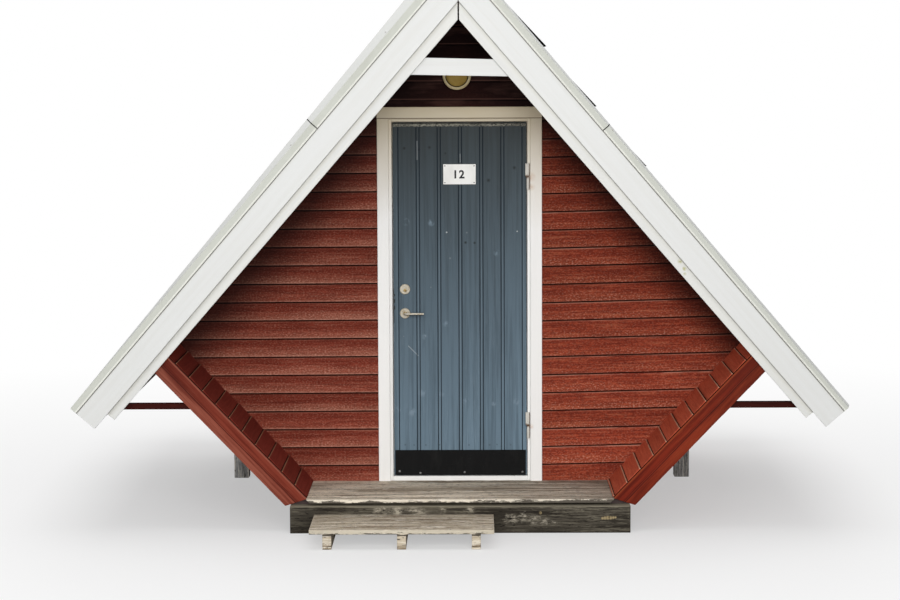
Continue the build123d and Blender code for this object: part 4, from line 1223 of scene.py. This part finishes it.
# Finishes of the CAD pieces that show: material, width of the eased arrises, and the nodes
whiteUpright = paintedWood("whiteUpright", casingTrim, "upright")
finishes = (
    (weatheredWood("darkBeam", beamWood), 0.004, "front_beam rear_beam"),
    (weatheredWood("darkBearer", bearerWood, "deep"), None, "floor_bearers"),
    (weatheredWood("palePost", postWood, "upright"), 0.003, "side_posts"),
    (weatheredWood("greyPlank", deckWood), 0.003, "porch_deck"),
    (weatheredWood("greyLedge", rearWood), 0.003, "rear_ledge"),
    (weatheredWood("greyStep", stepWood), 0.003, "front_step"),
    (linedWood("linedDeep", "deep"), None, "floor lower_wall_left lower_wall_right roof_left roof_right"),
    (linedWood("linedLevel", "level"), None, "front_wall_left front_wall_right front_wall_top rear_wall"),
    (paintedWood("redLeanLeft", leftFascia, "leanLeft"), 0.002, "fascia_front_left"),
    (paintedWood("redLeanRight", rightFascia, "leanRight"), 0.002, "fascia_front_right"),
    (paintedWood("redLevel", redTrim), 0.002, "fascia_rear"),
    (paintedWood("redDeep", redTrim, "deep"), 0.002, "eave_boards"),
    (paintedWood("strutRedShaded", shadedRed), 0.002, "eave_struts"),
    (paintedWood("whiteLevel", whiteTrim), 0.002, "barge_boards_rear barge_lower_boards_rear collar_boards"),
    (paintedWood("whiteSlopeLeft", wideTrim, "slopeLeft"), 0.002, "barge_board_front_left"),
    (paintedWood("whiteSlopeRight", wideTrim, "slopeRight"), 0.002, "barge_board_front_right"),
    (paintedWood("whiteLowerLeft", lowerTrim, "slopeLeft"), 0.002, "barge_lower_board_front_left"),
    (paintedWood("whiteLowerRight", lichenTrim, "slopeRight"), 0.002, "barge_lower_board_front_right"),
    (flashSteel("flashLeft", leftFlash), None, "flashing_front_left flashing_rear_left"),
    (flashSteel("flashRight", rightFlash), None, "flashing_front_right flashing_rear_right"),
    (roofBlack, None, "ridge_cap"),
    (whiteUpright, 0.0015, "jamb_left jamb_right"),
    (whiteUpright, None, "casing_left casing_right"),
    (paintedWood("whiteHead", casingTrim), 0.0015, "frame_head frame_sill"),
    (paintedWood("whiteLintel", lintelTrim), None, "casing_head"),
    (doorWood("doorBlue"), 0.0008, "door_leaf"),
    (steelCoat("kickBlack", rgb(0.005, 0.005, 0.0052), rgb(0.04, 0.039, 0.037), 0.7, 0.3, 9.0, 0.1).done(),
     None, "kick_plate"),
    (platePaint("plateWhite"), None, "number_plate"),
    (rustedPaint("hingePaint", hingeLook), 0.0012, "hinge_frame hinge_door"),
)


def dressNode(name, material, arris):
    node = frame["nodes"][name]
    node.data.materials.clear()
    node.data.materials.append(material)
    if arris:
        node.modifiers.new("Weld", "WELD").merge_threshold = 0.00005
        ease = node.modifiers.new("Arris", "BEVEL")
        ease.width, ease.segments, ease.limit_method = arris, 2, "ANGLE"
        ease.angle_limit = math.radians(35)


for material, arris, names in finishes:
    for name in names.split():
        dressNode(name, material, arris)
print("CAD pieces finished in", len(finishes), "groups")


# Camera, light and floor

# the photograph's viewpoint, worked out from the cottage's own lines; turns in degrees
view = {"lens": 97.8, "x": 0.066, "back": 13.068, "z": 2.4057, "down": 5.473, "left": 0.523, "roll": 0.236}
# broad soft light from low in front, so the porch is lit, and weaker ones around: place, size, power, aim
lights = {
    "keySoft": ((1.2, -13.0, 3.6), 7.0, 900.0, (0.0, 0.0, 1.2)),
    "fillSoft": ((-7.0, -9.5, 2.4), 6.0, 260.0, (0.0, 0.0, 0.9)),
    "backSoft": ((0.0, 11.0, 6.0), 7.0, 650.0, (0.0, 0.0, 1.0)),
    "topSoft": ((0.0, 0.0, 9.0), 8.0, 330.0, (0.0, 0.0, 0.0)),
}


def camera():
    down, yaw, roll = math.radians(view["down"]), -math.radians(view["left"]), math.radians(view["roll"])
    ahead = Vector((math.sin(yaw) * math.cos(down), math.cos(yaw) * math.cos(down), -math.sin(down)))
    level = Vector((math.cos(yaw), -math.sin(yaw), 0.0))
    upright = Vector((math.sin(yaw) * math.sin(down), math.cos(yaw) * math.sin(down), math.cos(down)))
    right = level * math.cos(roll) - upright * math.sin(roll)
    up = level * math.sin(roll) + upright * math.cos(roll)
    data = bpy.data.cameras.new("viewpoint")
    data.lens, data.sensor_width, data.clip_end = view["lens"], 36.0, 200.0
    eye = newPiece("viewpoint", data)
    eye.matrix_world = placedBy((view["x"], house["wallY"] - view["back"], view["z"]), right, up, -ahead)
    bpy.context.scene.camera = eye


def softLights():
    for name, (place, size, power, aim) in lights.items():
        data = bpy.data.lights.new(name, "AREA")
        data.size, data.energy = size, power
        turn = (Vector(aim) - Vector(place)).to_track_quat("-Z", "Y").to_matrix().to_4x4()
        newPiece(name, data).matrix_world = Matrix.Translation(place) @ turn


def ray(kind):
    return wire("ShaderNodeLightPath", output=f"Is {kind} Ray")


def world():
    # soft sky for the object, plain white for the eye, glass and metal
    sky = bpy.data.worlds.new("sky")
    bpy.context.scene.world = sky
    sky.use_nodes = True
    drawing["tree"] = sky.node_tree
    sky.node_tree.nodes.clear()
    seen = pick("MAXIMUM", (ray("Camera"), pick("MAXIMUM", (ray("Glossy"), ray("Transmission")))))
    back = wire("ShaderNodeBackground", {"Color": rgb(1.0, 1.0, 1.0), "Strength": ramp(seen, 0.0, 1.0, 0.32, 1.0)})
    add("ShaderNodeOutputWorld", {"Surface": back}).is_active_output = True


def floorPlane():
    # pale to the eye, with the soft shade of the cottage on it, and dim as a light source
    mesh, reach = bpy.data.meshes.new("ground"), 60.0
    mesh.from_pydata([(-reach, -reach, 0), (reach, -reach, 0), (reach, reach, 0), (-reach, reach, 0)], [],
                     [(0, 1, 2, 3)])
    coat = Coat("paleFloor", {}, 0.95, 0.0)
    coat.shader.inputs["Base Color"].default_value = rgb(0.85, 0.85, 0.85)
    away = vector("LENGTH", coat.here, output="Value")
    white = wire("ShaderNodeEmission", {"Color": rgb(1.0, 1.0, 1.0), "Strength": 1.0})
    dim = wire("ShaderNodeBsdfDiffuse", {"Color": rgb(0.3, 0.3, 0.3)})
    near = wire("ShaderNodeMixShader", {0: ray("Camera"), 1: dim, 2: Wire(coat.shader.outputs[0])})
    fade = ramp(away, 1.5, 6.5, 0.45, 1.0) * ray("Camera")
    both = wire("ShaderNodeMixShader", {0: fade, 1: near, 2: white})
    link(both, drawing["tree"].nodes["Material Output"].inputs[0])
    newPiece("ground", mesh, coat.material)


camera()
softLights()
world()
floorPlane()
bpy.context.scene.view_settings.view_transform = "Standard"
print("stage set")
